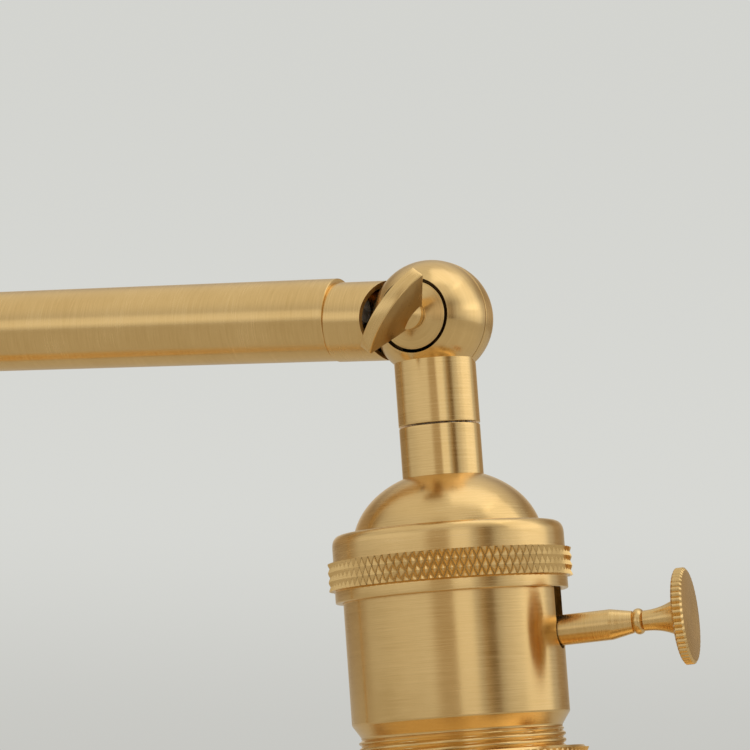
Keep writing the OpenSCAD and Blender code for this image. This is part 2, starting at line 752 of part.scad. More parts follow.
base_cover();
base_weight();
base_plate();
base_felt();
base_screws();
cord_bush();
post_nipple();
post_washer();
post_nut();
post_foot();
post_collar();
post_tube();
post_cap();
post_stop_pin();
post_lead();
shoulder_neck();
shoulder_stop_pin();
shoulder_nipple();
shoulder_spring_washer();
shoulder_nipple_nut();
shoulder_disc();
shoulder_wing_screw();
shoulder_sleeve();
arm_tube();
wrist_sleeve();
arm_grub_screws();
arm_lead();
wrist_neck();
wrist_stop_pin();
wrist_nipple();
wrist_spring_washer();
wrist_nipple_nut();
wrist_disc();
wrist_lead();
wrist_wing_screw();
holder_neck();
holder_stop_pin();
holder_lock_nut();
holder_cap();
holder_shell();
holder_liner();
holder_core();
holder_wires();
terminal_screws();
screw_shell();
centre_contact();
switch_key();
switch_spindle();
switch_cam();
upper_shade_ring();
lower_shade_ring();
shade();
bulb_contact();
bulb_cap();
bulb_globe();
bulb_filaments();
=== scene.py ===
"""Looks of the brass swing arm desk lamp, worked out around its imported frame.

Shapes are written in millimetres in a local frame: the head's frame hangs from the wrist ball's centre,
with +Z up its own axis, so a station a millimetres down the head lies at z = -a.
"""
import json
import math

import bmesh
import bpy
import numpy as np
from mathutils import Euler, Matrix, Vector


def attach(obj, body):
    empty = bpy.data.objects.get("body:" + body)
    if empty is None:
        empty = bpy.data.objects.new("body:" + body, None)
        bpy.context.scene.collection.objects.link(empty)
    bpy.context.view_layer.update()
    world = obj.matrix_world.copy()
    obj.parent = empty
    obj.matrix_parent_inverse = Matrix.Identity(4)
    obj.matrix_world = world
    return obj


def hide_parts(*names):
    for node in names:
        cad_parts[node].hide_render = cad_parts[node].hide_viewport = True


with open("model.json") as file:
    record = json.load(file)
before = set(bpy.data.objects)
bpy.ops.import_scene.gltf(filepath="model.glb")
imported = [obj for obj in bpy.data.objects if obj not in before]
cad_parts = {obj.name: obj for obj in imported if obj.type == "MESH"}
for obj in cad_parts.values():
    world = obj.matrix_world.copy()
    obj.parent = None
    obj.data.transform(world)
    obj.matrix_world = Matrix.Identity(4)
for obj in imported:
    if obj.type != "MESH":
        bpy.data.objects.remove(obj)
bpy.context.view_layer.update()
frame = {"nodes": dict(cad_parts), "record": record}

MM = 0.001
RECORD = frame["record"]
JOINT = {joint["name"]: joint for joint in RECORD["behaviour"]["joints"]}
BODY_OF = {node: body for body, nodes in RECORD["behaviour"]["bodies"].items() for node in nodes}
SLOT_OF = {part["node"]: part["material_slot"] for part in RECORD["subparts"]}

# ---- sizes in millimetres ----
BALL_R = 10.6
BALL_WALL = 2.0
REAR_SET = 1.1
SEAM = 0.15
SADDLE_R = 11.0
SLEEVE_R = 7.2
SLEEVE_LEN = 18.34
SLEEVE_BORE = 5.9
SPIGOT_R = 6.0
SPIGOT_LEN = 12.0
TUBE_R = 7.5
TUBE_WALL = 1.0
TUBE_RISE = 0.45
NECK_R = 7.3
NECK_LEN = 19.15
NECK_BORE = 5.4
SHANK_BORE = 2.55
NIPPLE_BORE = 4.05
CLOSE_FIT = 0.02
BOSS_R = 4.2
RECESS_R = 6.7
RECESS_FLOOR = 6.6
RECESS_WALL = 1.6
SCREW_HOLE_R = 2.65
SPIGOT_BORE = 5.3
DISC_R = 6.1
DISC_TOP = 9.3
DISC_DOME = 16.0
LOWER_NECK_R = 7.25
LOWER_NECK = (19.45, 28.45)
WING_LEN = 17.0
WING_T = 2.5
WING_OUT = 20.8
WING_EDGE_R = 11.7
WING_ROOT = 9.5
WING_TURN = 53.7
DOME_R = 16.95
DOME_H = 13.2
DOME_MID = 40.38
CAP_WALL = 1.3
SHOULDER_AT = 37.68
BAND_AT = 42.63
LIP_AT = 47.50
LIP_END = 49.76
SHOULDER_R = 20.65
BAND_R = 21.7
LIP_R = 20.7
SHELL_R = 19.35
SHELL_BORE = 17.2
CHAMFER_AT = 71.40
THREAD_AT = 73.67
THREAD_R = 18.3
THREAD_PITCH = 1.15
THREAD_DEPTH = 0.55
THREAD_ROOT_R = THREAD_R - 0.45
SHELL_END = 96.67
RING_AT = 77.50
COLLAR_AT = 82.50
LOWER_RING_AT = 83.30
RING_R = 22.2
RING_H = 5.0
SHADE_MOUTH = 150.0
SHADE_R = 80.0
SHADE_WALL = 0.8
COLLAR_R = 24.0
KNURL_DEPTH = 0.7
KEY_AT = 57.96
KEY_TURN = 10.0
KEY_REACH = 42.6
KEY_DISC_R = 8.5
KEY_DISC_T = 2.07
STEM_R = 2.7
SLOT_R = 3.2
BASE_R = 90.0
BASE_TOP = 26.5
LEAD_R = 2.3
BULB_AT = 65.56
BULB_THREAD_AT = BULB_AT + 3.5
BULB_THREAD_LEN = 21
GLOBE_R = 22.5
GLOBE_MID = 117.56


# ---- frames ----
def unit(vector):
    """The vector divided by its own length."""
    vector = np.asarray(vector, dtype=float)
    return vector / np.linalg.norm(vector)


def placed_on(origin, z_axis, x_near):
    """A frame at origin: its third axis is z_axis, its first is x_near made square to it."""
    z = unit(z_axis)
    x = unit(np.asarray(x_near) - np.dot(x_near, z) * z)
    return np.asarray(origin, dtype=float), np.column_stack((x, np.cross(z, x), z))


X, Y, Z = np.eye(3)
WRIST = JOINT["head_tilt"]["pos_m"]
SHOULDER = JOINT["arm_tilt"]["pos_m"]
HEAD_UP = unit(JOINT["head_swivel"]["axis"])
ON_BASE = placed_on((0, 0, 0), Z, X)
ON_SHOULDER = placed_on(SHOULDER, Z, X)
# the shoulder's rear half is the wrist's, mirrored along the arm
ON_SHOULDER_ARM = np.asarray(SHOULDER), np.column_stack((-X, Y, Z))
ON_WRIST = placed_on(WRIST, Z, X)
ON_HEAD = placed_on(WRIST, HEAD_UP, X)
ON_KEY = placed_on(JOINT["key_turn"]["pos_m"], JOINT["key_turn"]["axis"], HEAD_UP)
# the arm's line, from the shoulder ball to the wrist ball, with its rise over the ball centres
ON_ARM = placed_on(np.asarray(SHOULDER) + TUBE_RISE * MM * Z, X, Y)
ARM_LEN = (WRIST[0] - SHOULDER[0]) / MM


def turned_frame(place, z_axis, x_near):
    """The frame at the same origin whose third axis is z_axis, given in the old frame's axes."""
    origin, axes = place
    return placed_on(origin, axes @ np.asarray(z_axis, dtype=float), axes @ np.asarray(x_near, dtype=float))


# ---- mesh building ----
SPIN_START = math.radians(90)


def rounded(corners, steps=5):
    """A line through corners (radius, height, rounding). A corner with a rounding becomes the
    parabola that starts and ends that far along its two sides and has the corner as its control."""
    pts = []
    for i, (r, z, cut) in enumerate(corners):
        here = np.array((r, z), dtype=float)
        if cut == 0 or i in (0, len(corners) - 1):
            pts.append(here[None])
            continue
        back = np.array(corners[i - 1][:2]) - here
        ahead = np.array(corners[i + 1][:2]) - here
        start = here + back * min(0.5, cut / np.linalg.norm(back))
        end = here + ahead * min(0.5, cut / np.linalg.norm(ahead))
        s = np.linspace(0, 1, steps + 1)[:, None]
        pts.append((1 - s) ** 2 * start + 2 * s * (1 - s) * here + s ** 2 * end)
    return np.concatenate(pts)


def arc(mid, radii, start, end, steps):
    """Points of an ellipse round mid, from angle start to angle end in degrees."""
    angle = np.radians(np.linspace(start, end, steps + 1))
    return np.column_stack((mid[0] + radii[0] * np.cos(angle), mid[1] + radii[1] * np.sin(angle)))


def line(*points):
    """Plain profile points."""
    return np.array(points, dtype=float)


def join(*pieces):
    """One profile out of several, with repeated points left out."""
    profile = np.concatenate(pieces)
    gap = np.linalg.norm(np.diff(profile, axis=0), axis=1)
    return profile[np.concatenate(([True], gap > 1e-6))]


def spin(profile, columns=128, closed=False):
    """Surface of revolution: the profile (radius, height) carried round the frame's third axis.
    Point (i, j) is profile point j turned by i steps; v is the length along the profile."""
    turn = SPIN_START + np.linspace(0, 2 * math.pi, columns + 1)
    r, z = profile[:, 0], profile[:, 1]
    if closed:
        r, z = np.append(r, r[0]), np.append(z, z[0])
    points = np.empty((columns + 1, len(r), 3))
    points[..., 0] = np.cos(turn)[:, None] * r
    points[..., 1] = np.sin(turn)[:, None] * r
    points[..., 2] = z
    run = np.concatenate(([0], np.cumsum(np.hypot(np.diff(r), np.diff(z)))))
    uv = np.empty((columns + 1, len(r), 2))
    uv[..., 0] = np.linspace(0, 1, columns + 1)[:, None] * 2 * math.pi * max(r.max(), 1e-3)
    uv[..., 1] = run
    return points, uv


def sheet_faces(grid):
    """Corner indices of the quads of a grid, four to a row."""
    nu, nv = grid.shape[:2]
    index = np.arange(nu * nv).reshape(nu, nv)
    quads = np.stack((index[:-1, :-1], index[1:, :-1], index[1:, 1:], index[:-1, 1:]), axis=-1)
    return quads.reshape(-1, 4)


def mesh_of(name, sheets, place):
    """One mesh out of grids of local points: doubles are merged, so seams and poles close, and the
    faces of the closed surfaces are turned outwards."""
    points, uvs, faces = [], [], []
    count = 0
    for grid, uv in sheets:
        points.append(grid.reshape(-1, 3))
        uvs.append(uv.reshape(-1, 2))
        faces.append(sheet_faces(grid) + count)
        count += grid.shape[0] * grid.shape[1]
    origin, axes = place
    world = origin + np.concatenate(points) * MM @ axes.T
    quads = np.concatenate(faces)
    flat_uv = np.concatenate(uvs)[quads.ravel()]
    mesh = bpy.data.meshes.new(name)
    mesh.vertices.add(len(world))
    mesh.vertices.foreach_set("co", world.ravel())
    mesh.loops.add(quads.size)
    mesh.loops.foreach_set("vertex_index", quads.ravel())
    mesh.polygons.add(len(quads))
    mesh.polygons.foreach_set("loop_start", np.arange(0, quads.size, 4))
    mesh.polygons.foreach_set("loop_total", np.full(len(quads), 4))
    mesh.uv_layers.new(name="UVMap").data.foreach_set("uv", flat_uv.ravel())
    mesh.update(calc_edges=True)
    work = bmesh.new()
    work.from_mesh(mesh)
    bmesh.ops.remove_doubles(work, verts=work.verts, dist=1e-7)
    bmesh.ops.dissolve_degenerate(work, edges=work.edges, dist=1e-9)
    bmesh.ops.recalc_face_normals(work, faces=work.faces)
    work.to_mesh(mesh)
    work.free()
    return mesh


def solid(name, sheets, place, crease=32.0):
    """An object at the origin made of grids, shaded smooth up to a crease angle in degrees."""
    mesh = mesh_of(name, sheets, place)
    piece = bpy.data.objects.new(name, mesh)
    bpy.context.scene.collection.objects.link(piece)
    soften(piece, crease)
    return piece


def soften(piece, crease=32.0):
    """Smooth shading with edges sharper than the crease angle kept sharp."""
    piece.data.shade_smooth()
    piece.data.set_sharp_from_angle(angle=math.radians(crease))


def finished(piece):
    """The piece with its modifiers worked into its mesh."""
    view = bpy.context.evaluated_depsgraph_get()
    mesh = bpy.data.meshes.new_from_object(piece.evaluated_get(view))
    piece.modifiers.clear()
    piece.data = mesh
    return piece


def carve(piece, tool, how="DIFFERENCE"):
    """Cuts, joins or keeps the common part of two closed pieces, and removes the tool."""
    step = piece.modifiers.new(how, "BOOLEAN")
    step.operation = how
    step.solver = "EXACT"
    step.object = tool
    finished(piece)
    bpy.data.objects.remove(tool)
    return piece


def rod(radius, low, high, place, columns=96):
    """A plain closed cylinder along the frame's third axis."""
    profile = line((0, low), (radius, low), (radius, high), (0, high))
    return solid("rod", [spin(profile, columns)], place)


def block(low, high, place):
    """A closed box between two local corners, as six small grids."""
    low, high = np.array(low, dtype=float), np.array(high, dtype=float)
    sheets = []
    for axis in range(3):
        for side in (low, high):
            u, v = np.meshgrid((0.0, 1.0), (0.0, 1.0), indexing="ij")
            grid = np.empty((2, 2, 3))
            others = [a for a in range(3) if a != axis]
            grid[..., axis] = side[axis]
            grid[..., others[0]] = low[others[0]] + u * (high - low)[others[0]]
            grid[..., others[1]] = low[others[1]] + v * (high - low)[others[1]]
            sheets.append((grid, np.stack((u, v), axis=-1)))
    return solid("block", sheets, place)


def stand_in(piece, node, coat):
    """Gives a piece the name, body, slot and material of the CAD node that it stands for."""
    piece.name = "look_" + node
    piece.data.materials.clear()
    piece.data.materials.append(coat)
    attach(piece, BODY_OF[node])
    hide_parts(node)
    return piece


def second_coat(piece, coat, place, picks):
    """Gives another coat to the faces that picks chooses by their middles and normals, both
    worked out in the frame, the middles in millimetres."""
    origin, axes = place
    mesh = piece.data
    middles, normals = np.empty(len(mesh.polygons) * 3), np.empty(len(mesh.polygons) * 3)
    mesh.polygons.foreach_get("center", middles)
    mesh.polygons.foreach_get("normal", normals)
    local = (middles.reshape(-1, 3) - origin) @ axes / MM
    chosen = picks(local, normals.reshape(-1, 3) @ axes)
    mesh.materials.append(coat)
    mesh.polygons.foreach_set("material_index", chosen.astype(np.int32))
    mesh.update()


# ---- materials ----
class Paint:
    """A material under construction, with short calls for its nodes and links."""

    def __init__(self, name, colour, metal, rough):
        self.material = bpy.data.materials.new(name)
        self.material.use_nodes = True
        self.tree = self.material.node_tree
        self.shader = self.tree.nodes["Principled BSDF"]
        self.shader.inputs["Base Color"].default_value = (*colour, 1)
        self.shader.inputs["Metallic"].default_value = metal
        self.shader.inputs["Roughness"].default_value = rough

    def node(self, kind, values=None, **settings):
        """A node with its input values and its own settings."""
        made = self.tree.nodes.new(kind)
        for key, value in settings.items():
            setattr(made, key, value)
        for key, value in (values or {}).items():
            made.inputs[key].default_value = value
        return made

    def link(self, source, target):
        """Joins an output to an input."""
        self.tree.links.new(source, target)

    def sum(self, how, a, b):
        """Math of two values, each an output or a number."""
        made = self.node("ShaderNodeMath", operation=how)
        for slot, value in zip(made.inputs, (a, b)):
            if isinstance(value, (int, float)):
                slot.default_value = value
            else:
                self.link(value, slot)
        return made.outputs[0]

    def local(self, place):
        """Object coordinates in a piece's own frame, in millimetres."""
        origin, axes = place
        turn = Matrix(axes.tolist()).to_euler()
        where = self.node("ShaderNodeTexCoord").outputs["Object"]
        values = {"Location": origin.tolist(), "Rotation": tuple(turn), "Scale": (MM, MM, MM)}
        mapping = self.node("ShaderNodeMapping", values, vector_type="TEXTURE")
        self.link(where, mapping.inputs["Vector"])
        return mapping.outputs["Vector"]

    def noise(self, vector, scale, detail=2.0, rough=0.5):
        """Noise value at a vector."""
        made = self.node("ShaderNodeTexNoise", {"Scale": scale, "Detail": detail, "Roughness": rough})
        self.link(vector, made.inputs["Vector"])
        return made.outputs["Fac"]

    def spread(self, value, low, high, from_low=0.3, from_high=0.7):
        """A value stretched from one range to another and kept inside it."""
        values = {"From Min": from_low, "From Max": from_high, "To Min": low, "To Max": high}
        made = self.node("ShaderNodeMapRange", values)
        self.link(value, made.inputs["Value"])
        return made.outputs["Result"]

    def mix(self, share, dark, light):
        """A colour between two colours."""
        made = self.node("ShaderNodeMix", data_type="RGBA")
        made.inputs["A"].default_value = (*dark, 1)
        made.inputs["B"].default_value = (*light, 1)
        self.link(share, made.inputs["Factor"])
        return made.outputs["Result"]

    def bump(self, height, strength, distance):
        """Bump from a height, into the shader."""
        made = self.node("ShaderNodeBump", {"Strength": strength, "Distance": distance})
        self.link(height, made.inputs["Height"])
        self.link(made.outputs["Normal"], self.shader.inputs["Normal"])


BRASS_DARK = (0.73, 0.495, 0.205)
BRASS_LIGHT = (0.91, 0.655, 0.315)


def brushed_brass(name, place, grain=0.16, stroke=8.0, rough=0.2, stretch=0.72, deep=1.0):
    """Satin brass with fine lines round the piece: noise that is long around the axis and short
    along the profile sets the tone, the roughness and the bump; a slow noise adds handling marks."""
    paint = Paint(name, BRASS_LIGHT, 1.0, rough)
    local = paint.local(place)
    split = paint.node("ShaderNodeSeparateXYZ")
    paint.link(local, split.inputs["Vector"])
    uv = paint.node("ShaderNodeUVMap", uv_map="UVMap")
    uv_split = paint.node("ShaderNodeSeparateXYZ")
    paint.link(uv.outputs["UV"], uv_split.inputs["Vector"])
    lines = paint.node("ShaderNodeCombineXYZ")
    paint.link(paint.sum("DIVIDE", split.outputs["X"], stroke), lines.inputs["X"])
    paint.link(paint.sum("DIVIDE", split.outputs["Y"], stroke), lines.inputs["Y"])
    paint.link(paint.sum("DIVIDE", uv_split.outputs["Y"], grain), lines.inputs["Z"])
    fine = paint.noise(lines.outputs["Vector"], 1.0, 3.0, 0.65)
    slow = paint.noise(local, 0.11, 3.0, 0.55)
    tone = paint.sum("ADD", paint.sum("MULTIPLY", fine, 0.65), paint.sum("MULTIPLY", slow, 0.35))
    colour = paint.mix(paint.spread(tone, 0.0, 1.0), BRASS_DARK, BRASS_LIGHT)
    paint.link(colour, paint.shader.inputs["Base Color"])
    worn = paint.sum("ADD", paint.spread(fine, -0.04, 0.05), paint.spread(slow, -0.02, 0.03))
    paint.link(paint.sum("ADD", worn, rough), paint.shader.inputs["Roughness"])
    paint.bump(fine, 0.25 * deep, 0.00002)
    paint.shader.inputs["Anisotropic"].default_value = stretch
    paint.shader.inputs["Anisotropic Rotation"].default_value = 0.25
    tangent = paint.node("ShaderNodeTangent", direction_type="UV_MAP", uv_map="UVMap")
    paint.link(tangent.outputs["Tangent"], paint.shader.inputs["Tangent"])
    return paint.material


SCUFFS = 0.9


def plain_metal(name, dark, light, rough):
    """Bare or plated metal of the inner parts: fine scuffs in tone and roughness."""
    paint = Paint(name, light, 1.0, rough)
    local = paint.local(ON_BASE)
    fine = paint.noise(local, SCUFFS, 4.0, 0.6)
    slow = paint.noise(local, SCUFFS * 0.12, 2.0)
    paint.link(paint.mix(paint.spread(slow, 0.0, 1.0), dark, light), paint.shader.inputs["Base Color"])
    paint.link(paint.spread(fine, rough - 0.08, rough + 0.1), paint.shader.inputs["Roughness"])
    paint.bump(fine, 0.2, 0.00004)
    return paint.material


def dull(name, dark, light, rough, scale, strength=0.4, depth=0.00012):
    """A matt material with grain of its own size: iron paint, felt, fibre paper or moulding."""
    paint = Paint(name, light, 0.0, rough)
    local = paint.local(ON_BASE)
    fine = paint.noise(local, scale, 5.0, 0.6)
    paint.link(paint.mix(paint.spread(fine, 0.0, 1.0), dark, light), paint.shader.inputs["Base Color"])
    paint.link(paint.spread(fine, rough + 0.06, rough - 0.06), paint.shader.inputs["Roughness"])
    paint.bump(fine, strength, depth)
    return paint.material


def braid(name):
    """Grey and pale braided sleeving: two crossing families of strands from the piece's own UV
    map, each a stripe that rises and falls evenly; a noise picks out the paler flecks."""
    half_strand = 0.3
    paint = Paint(name, (0.05, 0.05, 0.045), 0.0, 0.75)
    uv = paint.node("ShaderNodeUVMap", uv_map="UVMap")
    split = paint.node("ShaderNodeSeparateXYZ")
    paint.link(uv.outputs["UV"], split.inputs["Vector"])
    u, v = split.outputs["X"], split.outputs["Y"]
    one = paint.sum("PINGPONG", paint.sum("ADD", u, v), half_strand)
    two = paint.sum("PINGPONG", paint.sum("SUBTRACT", u, v), half_strand)
    strand = paint.sum("MAXIMUM", one, two)
    height = paint.sum("DIVIDE", strand, half_strand)
    fleck = paint.noise(uv.outputs["UV"], 1.6, 2.0)
    share = paint.sum("MULTIPLY", height, paint.spread(fleck, 0.25, 1.0, 0.36, 0.56))
    paint.link(paint.mix(share, (0.16, 0.155, 0.14), (0.78, 0.75, 0.69)), paint.shader.inputs["Base Color"])
    paint.bump(height, 0.8, 0.0002)
    return paint.material


def clear_glass(name):
    """Thin clear glass with a faint unevenness in its surface."""
    paint = Paint(name, (0.96, 0.97, 0.96), 0.0, 0.02)
    paint.shader.inputs["Transmission Weight"].default_value = 1.0
    paint.shader.inputs["IOR"].default_value = 1.45
    local = paint.local(ON_HEAD)
    slow = paint.noise(local, 0.12, 2.0)
    paint.link(paint.spread(slow, 0.01, 0.05), paint.shader.inputs["Roughness"])
    paint.bump(slow, 0.1, 0.0002)
    return paint.material


ZINC = plain_metal("zinc_steel_plating", (0.45, 0.45, 0.43), (0.66, 0.66, 0.64), 0.34)
INNER_BRASS = plain_metal("inner_brass", (0.52, 0.36, 0.15), (0.74, 0.53, 0.24), 0.36)
IRON = dull("painted_iron", (0.012, 0.012, 0.013), (0.05, 0.05, 0.05), 0.6, 1.1, 0.8, 0.0004)
FELT = dull("wool_felt", (0.01, 0.01, 0.01), (0.05, 0.05, 0.048), 0.95, 2.4, 1.0, 0.0005)
PHENOLIC = dull("moulded_phenolic", (0.015, 0.014, 0.013), (0.03, 0.028, 0.026), 0.42, 1.6, 0.15)
FIBRE = dull("fibre_paper", (0.055, 0.042, 0.014), (0.12, 0.092, 0.035), 0.62, 2.2, 0.5)
CAM = dull("cam_moulding", (0.55, 0.50, 0.38), (0.68, 0.63, 0.50), 0.45, 1.2, 0.15)
BRAID = braid("lead_braiding")
# painted shade: near-black brass for the recess under the pressure disc, standing for the shade in the gap
# round the disc
RECESS_SHADE = plain_metal("painted_recess_shade", (0.05, 0.028, 0.01), (0.11, 0.065, 0.025), 0.45)
FRESH_CUT = plain_metal("fresh_cut_brass", (0.74, 0.49, 0.19), (0.90, 0.62, 0.28), 0.55)
# painted shade: darker brass for the bottoms of the knurl's cuts, standing for the shadow between the
# diamonds
KNURL_SHADE = plain_metal("painted_knurl_shade", (0.40, 0.26, 0.10), (0.54, 0.36, 0.15), 0.35)
# painted shade: darker brass for the broad faces of the wing blades, standing for the shade on them
BLADE_SHADE = plain_metal("painted_blade_shade", (0.40, 0.25, 0.09), (0.52, 0.34, 0.135), 0.34)
NICKEL = plain_metal("bulb_nickel", (0.60, 0.59, 0.56), (0.78, 0.77, 0.74), 0.25)
GLASS = clear_glass("bulb_glass_clear")
PHOSPHOR = dull("phosphor", (0.75, 0.55, 0.15), (0.92, 0.74, 0.30), 0.5, 1.5, 0.3)
COATS = {
    "zinc_steel": ZINC, "plain_brass": INNER_BRASS, "cast_iron": IRON, "felt": FELT,
    "black_plastic": PHENOLIC, "fibre_liner": FIBRE, "cam_plastic": CAM, "lead_braid": BRAID,
    "bulb_metal": NICKEL, "bulb_glass": GLASS, "filament": PHOSPHOR, "brushed_brass": INNER_BRASS,
}


# ---- knurls and threads ----
def triangle(x):
    """Triangle wave: 0 at whole numbers, 1 half way between them."""
    return 1 - np.abs(2 * (x - np.floor(x)) - 1)


def knurled(radius, low, high, bore, around=88):
    """A diamond-knurled ring: the radius grows by the knurl's depth times the smaller of two
    triangle waves, one for each slanting family of cuts, so each diamond is a four-sided pyramid
    with a small flat tip."""
    rows, fine = 3, 12
    turns = np.linspace(0, around, around * fine + 1)
    steps = rows * fine // 2
    level = np.linspace(0, rows / 2, steps + 1)
    s, t = np.meshgrid(turns, level, indexing="ij")
    peak = np.minimum(triangle(s + t), triangle(s - t))
    r = radius - KNURL_DEPTH + KNURL_DEPTH * np.clip(peak * 1.08, 0, 1)
    z = low + (high - low) * t / level[-1]
    angle = 2 * math.pi * s / around
    skin = np.stack((r * np.cos(angle), r * np.sin(angle), z), axis=-1)
    ring = angle[:, :1]
    ends = []
    for height in (low, high):
        inner = np.stack((bore * np.cos(ring), bore * np.sin(ring), np.full_like(ring, height)), axis=-1)
        ends.append(inner)
    grid = np.concatenate((ends[0], skin, ends[1], ends[0]), axis=1)
    uv = np.stack(np.broadcast_arrays(angle[:, :1] * radius, np.arange(grid.shape[1])[None] * 0.27), axis=-1)
    return grid, uv


def threaded(radius, low, high, bore, pitch, depth, columns=144, per_turn=10):
    """A threaded tube: the outer radius follows a rounded crest that climbs one pitch for each
    turn; both ends fade to the root so that the tube closes."""
    steps = int((high - low) / pitch * per_turn)
    z = np.linspace(low, high, steps + 1)
    turn = np.linspace(0, 2 * math.pi, columns + 1)
    angle, height = np.meshgrid(turn, z, indexing="ij")
    phase = height / pitch - angle / (2 * math.pi)
    crest = np.clip(1.35 * triangle(phase) ** 0.9, 0, 1)
    fade = np.clip(np.minimum(height - low, high - height) / (0.5 * pitch), 0, 1)
    r = radius - depth + depth * crest * fade
    skin = np.stack((r * np.cos(angle), r * np.sin(angle), height), axis=-1)
    ring = turn[:, None]
    inner = [
        np.stack((bore * np.cos(ring), bore * np.sin(ring), np.full_like(ring, h)), axis=-1)
        for h in (low, high)]
    grid = np.concatenate((inner[0], skin, inner[1], inner[0]), axis=1)
    run = np.arange(grid.shape[1])[None] * pitch / per_turn
    uv = np.stack(np.broadcast_arrays(ring * radius, run), axis=-1)
    return grid, uv


# ---- knuckles ----
def front_half(place):
    """Front half ball with its neck: the ball turned about Y, with the disc's recess, and the
    neck's tube turned about Z, cut clear of the rear half and joined to the ball."""
    about_y = turned_frame(place, (0, -1, 0), (1, 0, 0))
    lip = math.degrees(math.acos(RECESS_R / BALL_R))
    inner_end = math.degrees(math.asin((RECESS_FLOOR - RECESS_WALL) / (BALL_R - BALL_WALL)))
    ball = join(
        line((SHANK_BORE, SEAM), (SHANK_BORE, RECESS_FLOOR)),
        line((RECESS_R, RECESS_FLOOR)),
        arc((0, 0), (BALL_R, BALL_R), lip, 2.0, 40),
        rounded([(BALL_R, 0.3, 0), (BALL_R, SEAM, 0.12), (BALL_R - 0.3, SEAM, 0)]),
        arc((0, 0), (BALL_R - BALL_WALL, BALL_R - BALL_WALL), 1.0, inner_end, 16),
        line((BOSS_R, RECESS_FLOOR - RECESS_WALL), (BOSS_R, SEAM)))
    piece = solid("ball_front", [spin(ball, 144, closed=True)], about_y)
    neck = rounded([
        (NIPPLE_BORE, -NECK_LEN, 0), (NECK_R - 0.4, -NECK_LEN, 0), (NECK_R, -NECK_LEN, 0.14),
        (NECK_R, -NECK_LEN + 0.6, 0), (NECK_R, -3.0, 0), (NECK_BORE, -3.0, 0),
        (NECK_BORE, -12.6, 0), (NIPPLE_BORE, -12.6, 0)])
    tube = solid("neck", [spin(neck, 144, closed=True)], place)
    carve(tube, rod(SADDLE_R, -40, SEAM, about_y, 144))
    carve(tube, rod(RECESS_R + CLOSE_FIT, RECESS_FLOOR, 30, about_y, 144))
    carve(tube, rod(BALL_R - BALL_WALL - 0.1, -20, RECESS_FLOOR - RECESS_WALL, about_y, 96))
    carve(piece, tube, "UNION")
    soften(piece)
    return piece


def rear_half(place):
    """Rear half ball with the sleeve: the ball turned about Y with its screw boss, and the
    sleeve's tube along -X, cut by the saddle that clears the front half, then joined."""
    about_y = turned_frame(place, (0, 1, 0), (1, 0, 0))
    along = turned_frame(place, (-1, 0, 0), (0, 0, 1))
    inner = BALL_R - BALL_WALL
    boss_end = math.degrees(math.acos(BOSS_R / inner))
    ball = join(
        line((0, 7.5), (SHANK_BORE, 7.5), (SHANK_BORE, SEAM), (BOSS_R, SEAM)),
        arc((0, REAR_SET), (inner, inner), boss_end, 0, 16),
        line((inner, SEAM)),
        rounded([(BALL_R - 0.3, SEAM, 0), (BALL_R, SEAM, 0.12), (BALL_R, 0.5, 0)]),
        arc((0, REAR_SET), (BALL_R, BALL_R), 0, 90, 48))
    piece = solid("ball_rear", [spin(ball, 144)], about_y)
    sleeve = rounded([
        (SLEEVE_BORE, 2.0, 0), (SLEEVE_R, 2.0, 0), (SLEEVE_R, SLEEVE_LEN - 0.6, 0),
        (SLEEVE_R, SLEEVE_LEN, 0.1), (SLEEVE_R - 0.4, SLEEVE_LEN, 0), (SPIGOT_R, SLEEVE_LEN, 0),
        (SPIGOT_R, SLEEVE_LEN + SPIGOT_LEN, 0), (SPIGOT_BORE, SLEEVE_LEN + SPIGOT_LEN, 0),
        (SPIGOT_BORE, SLEEVE_LEN - 1, 0), (SLEEVE_BORE, SLEEVE_LEN - 1, 0)])
    tube = solid("sleeve", [spin(sleeve, 144, closed=True)], along)
    carve(tube, rod(SADDLE_R, -40, SEAM, about_y, 144))
    carve(tube, rod(inner - 0.1, -20, REAR_SET + 4, about_y, 96))
    carve(piece, tube, "UNION")
    soften(piece)
    return piece


def pressure_disc(place):
    """The disc under the wing: a shallow dome turned about Y."""
    about_y = turned_frame(place, (0, -1, 0), (1, 0, 0))
    mid = DISC_TOP - DISC_DOME
    edge = math.degrees(math.acos((DISC_R - 0.12) / DISC_DOME))
    hole = math.degrees(math.acos(SCREW_HOLE_R / DISC_DOME))
    rim = mid + DISC_DOME * math.sin(math.radians(edge))
    disc = join(
        line((SCREW_HOLE_R, RECESS_FLOOR + CLOSE_FIT), (DISC_R, RECESS_FLOOR + CLOSE_FIT)),
        rounded([(DISC_R, RECESS_FLOOR + 0.1, 0), (DISC_R, rim, 0.12), (DISC_R - 0.2, rim + 0.08, 0)]),
        arc((0, mid), (DISC_DOME, DISC_DOME), edge + 0.5, hole, 24))
    return solid("disc", [spin(disc, 128, closed=True)], about_y)


def flat_uv(mesh, place):
    """UV of the faces with more than four corners: first and third coordinate in the frame."""
    origin, axes = place
    at = np.empty(len(mesh.vertices) * 3)
    corner = np.empty(len(mesh.loops), dtype=np.int32)
    sides = np.empty(len(mesh.polygons), dtype=np.int32)
    uv = np.empty(len(mesh.loops) * 2)
    layer = mesh.uv_layers["UVMap"].data
    mesh.vertices.foreach_get("co", at)
    mesh.loops.foreach_get("vertex_index", corner)
    mesh.polygons.foreach_get("loop_total", sides)
    layer.foreach_get("uv", uv)
    local = (at.reshape(-1, 3)[corner] - origin) @ axes / MM
    broad = np.repeat(sides > 4, sides)[:, None]
    layer.foreach_set("uv", np.where(broad, local[:, [0, 2]], uv.reshape(-1, 2)).ravel())


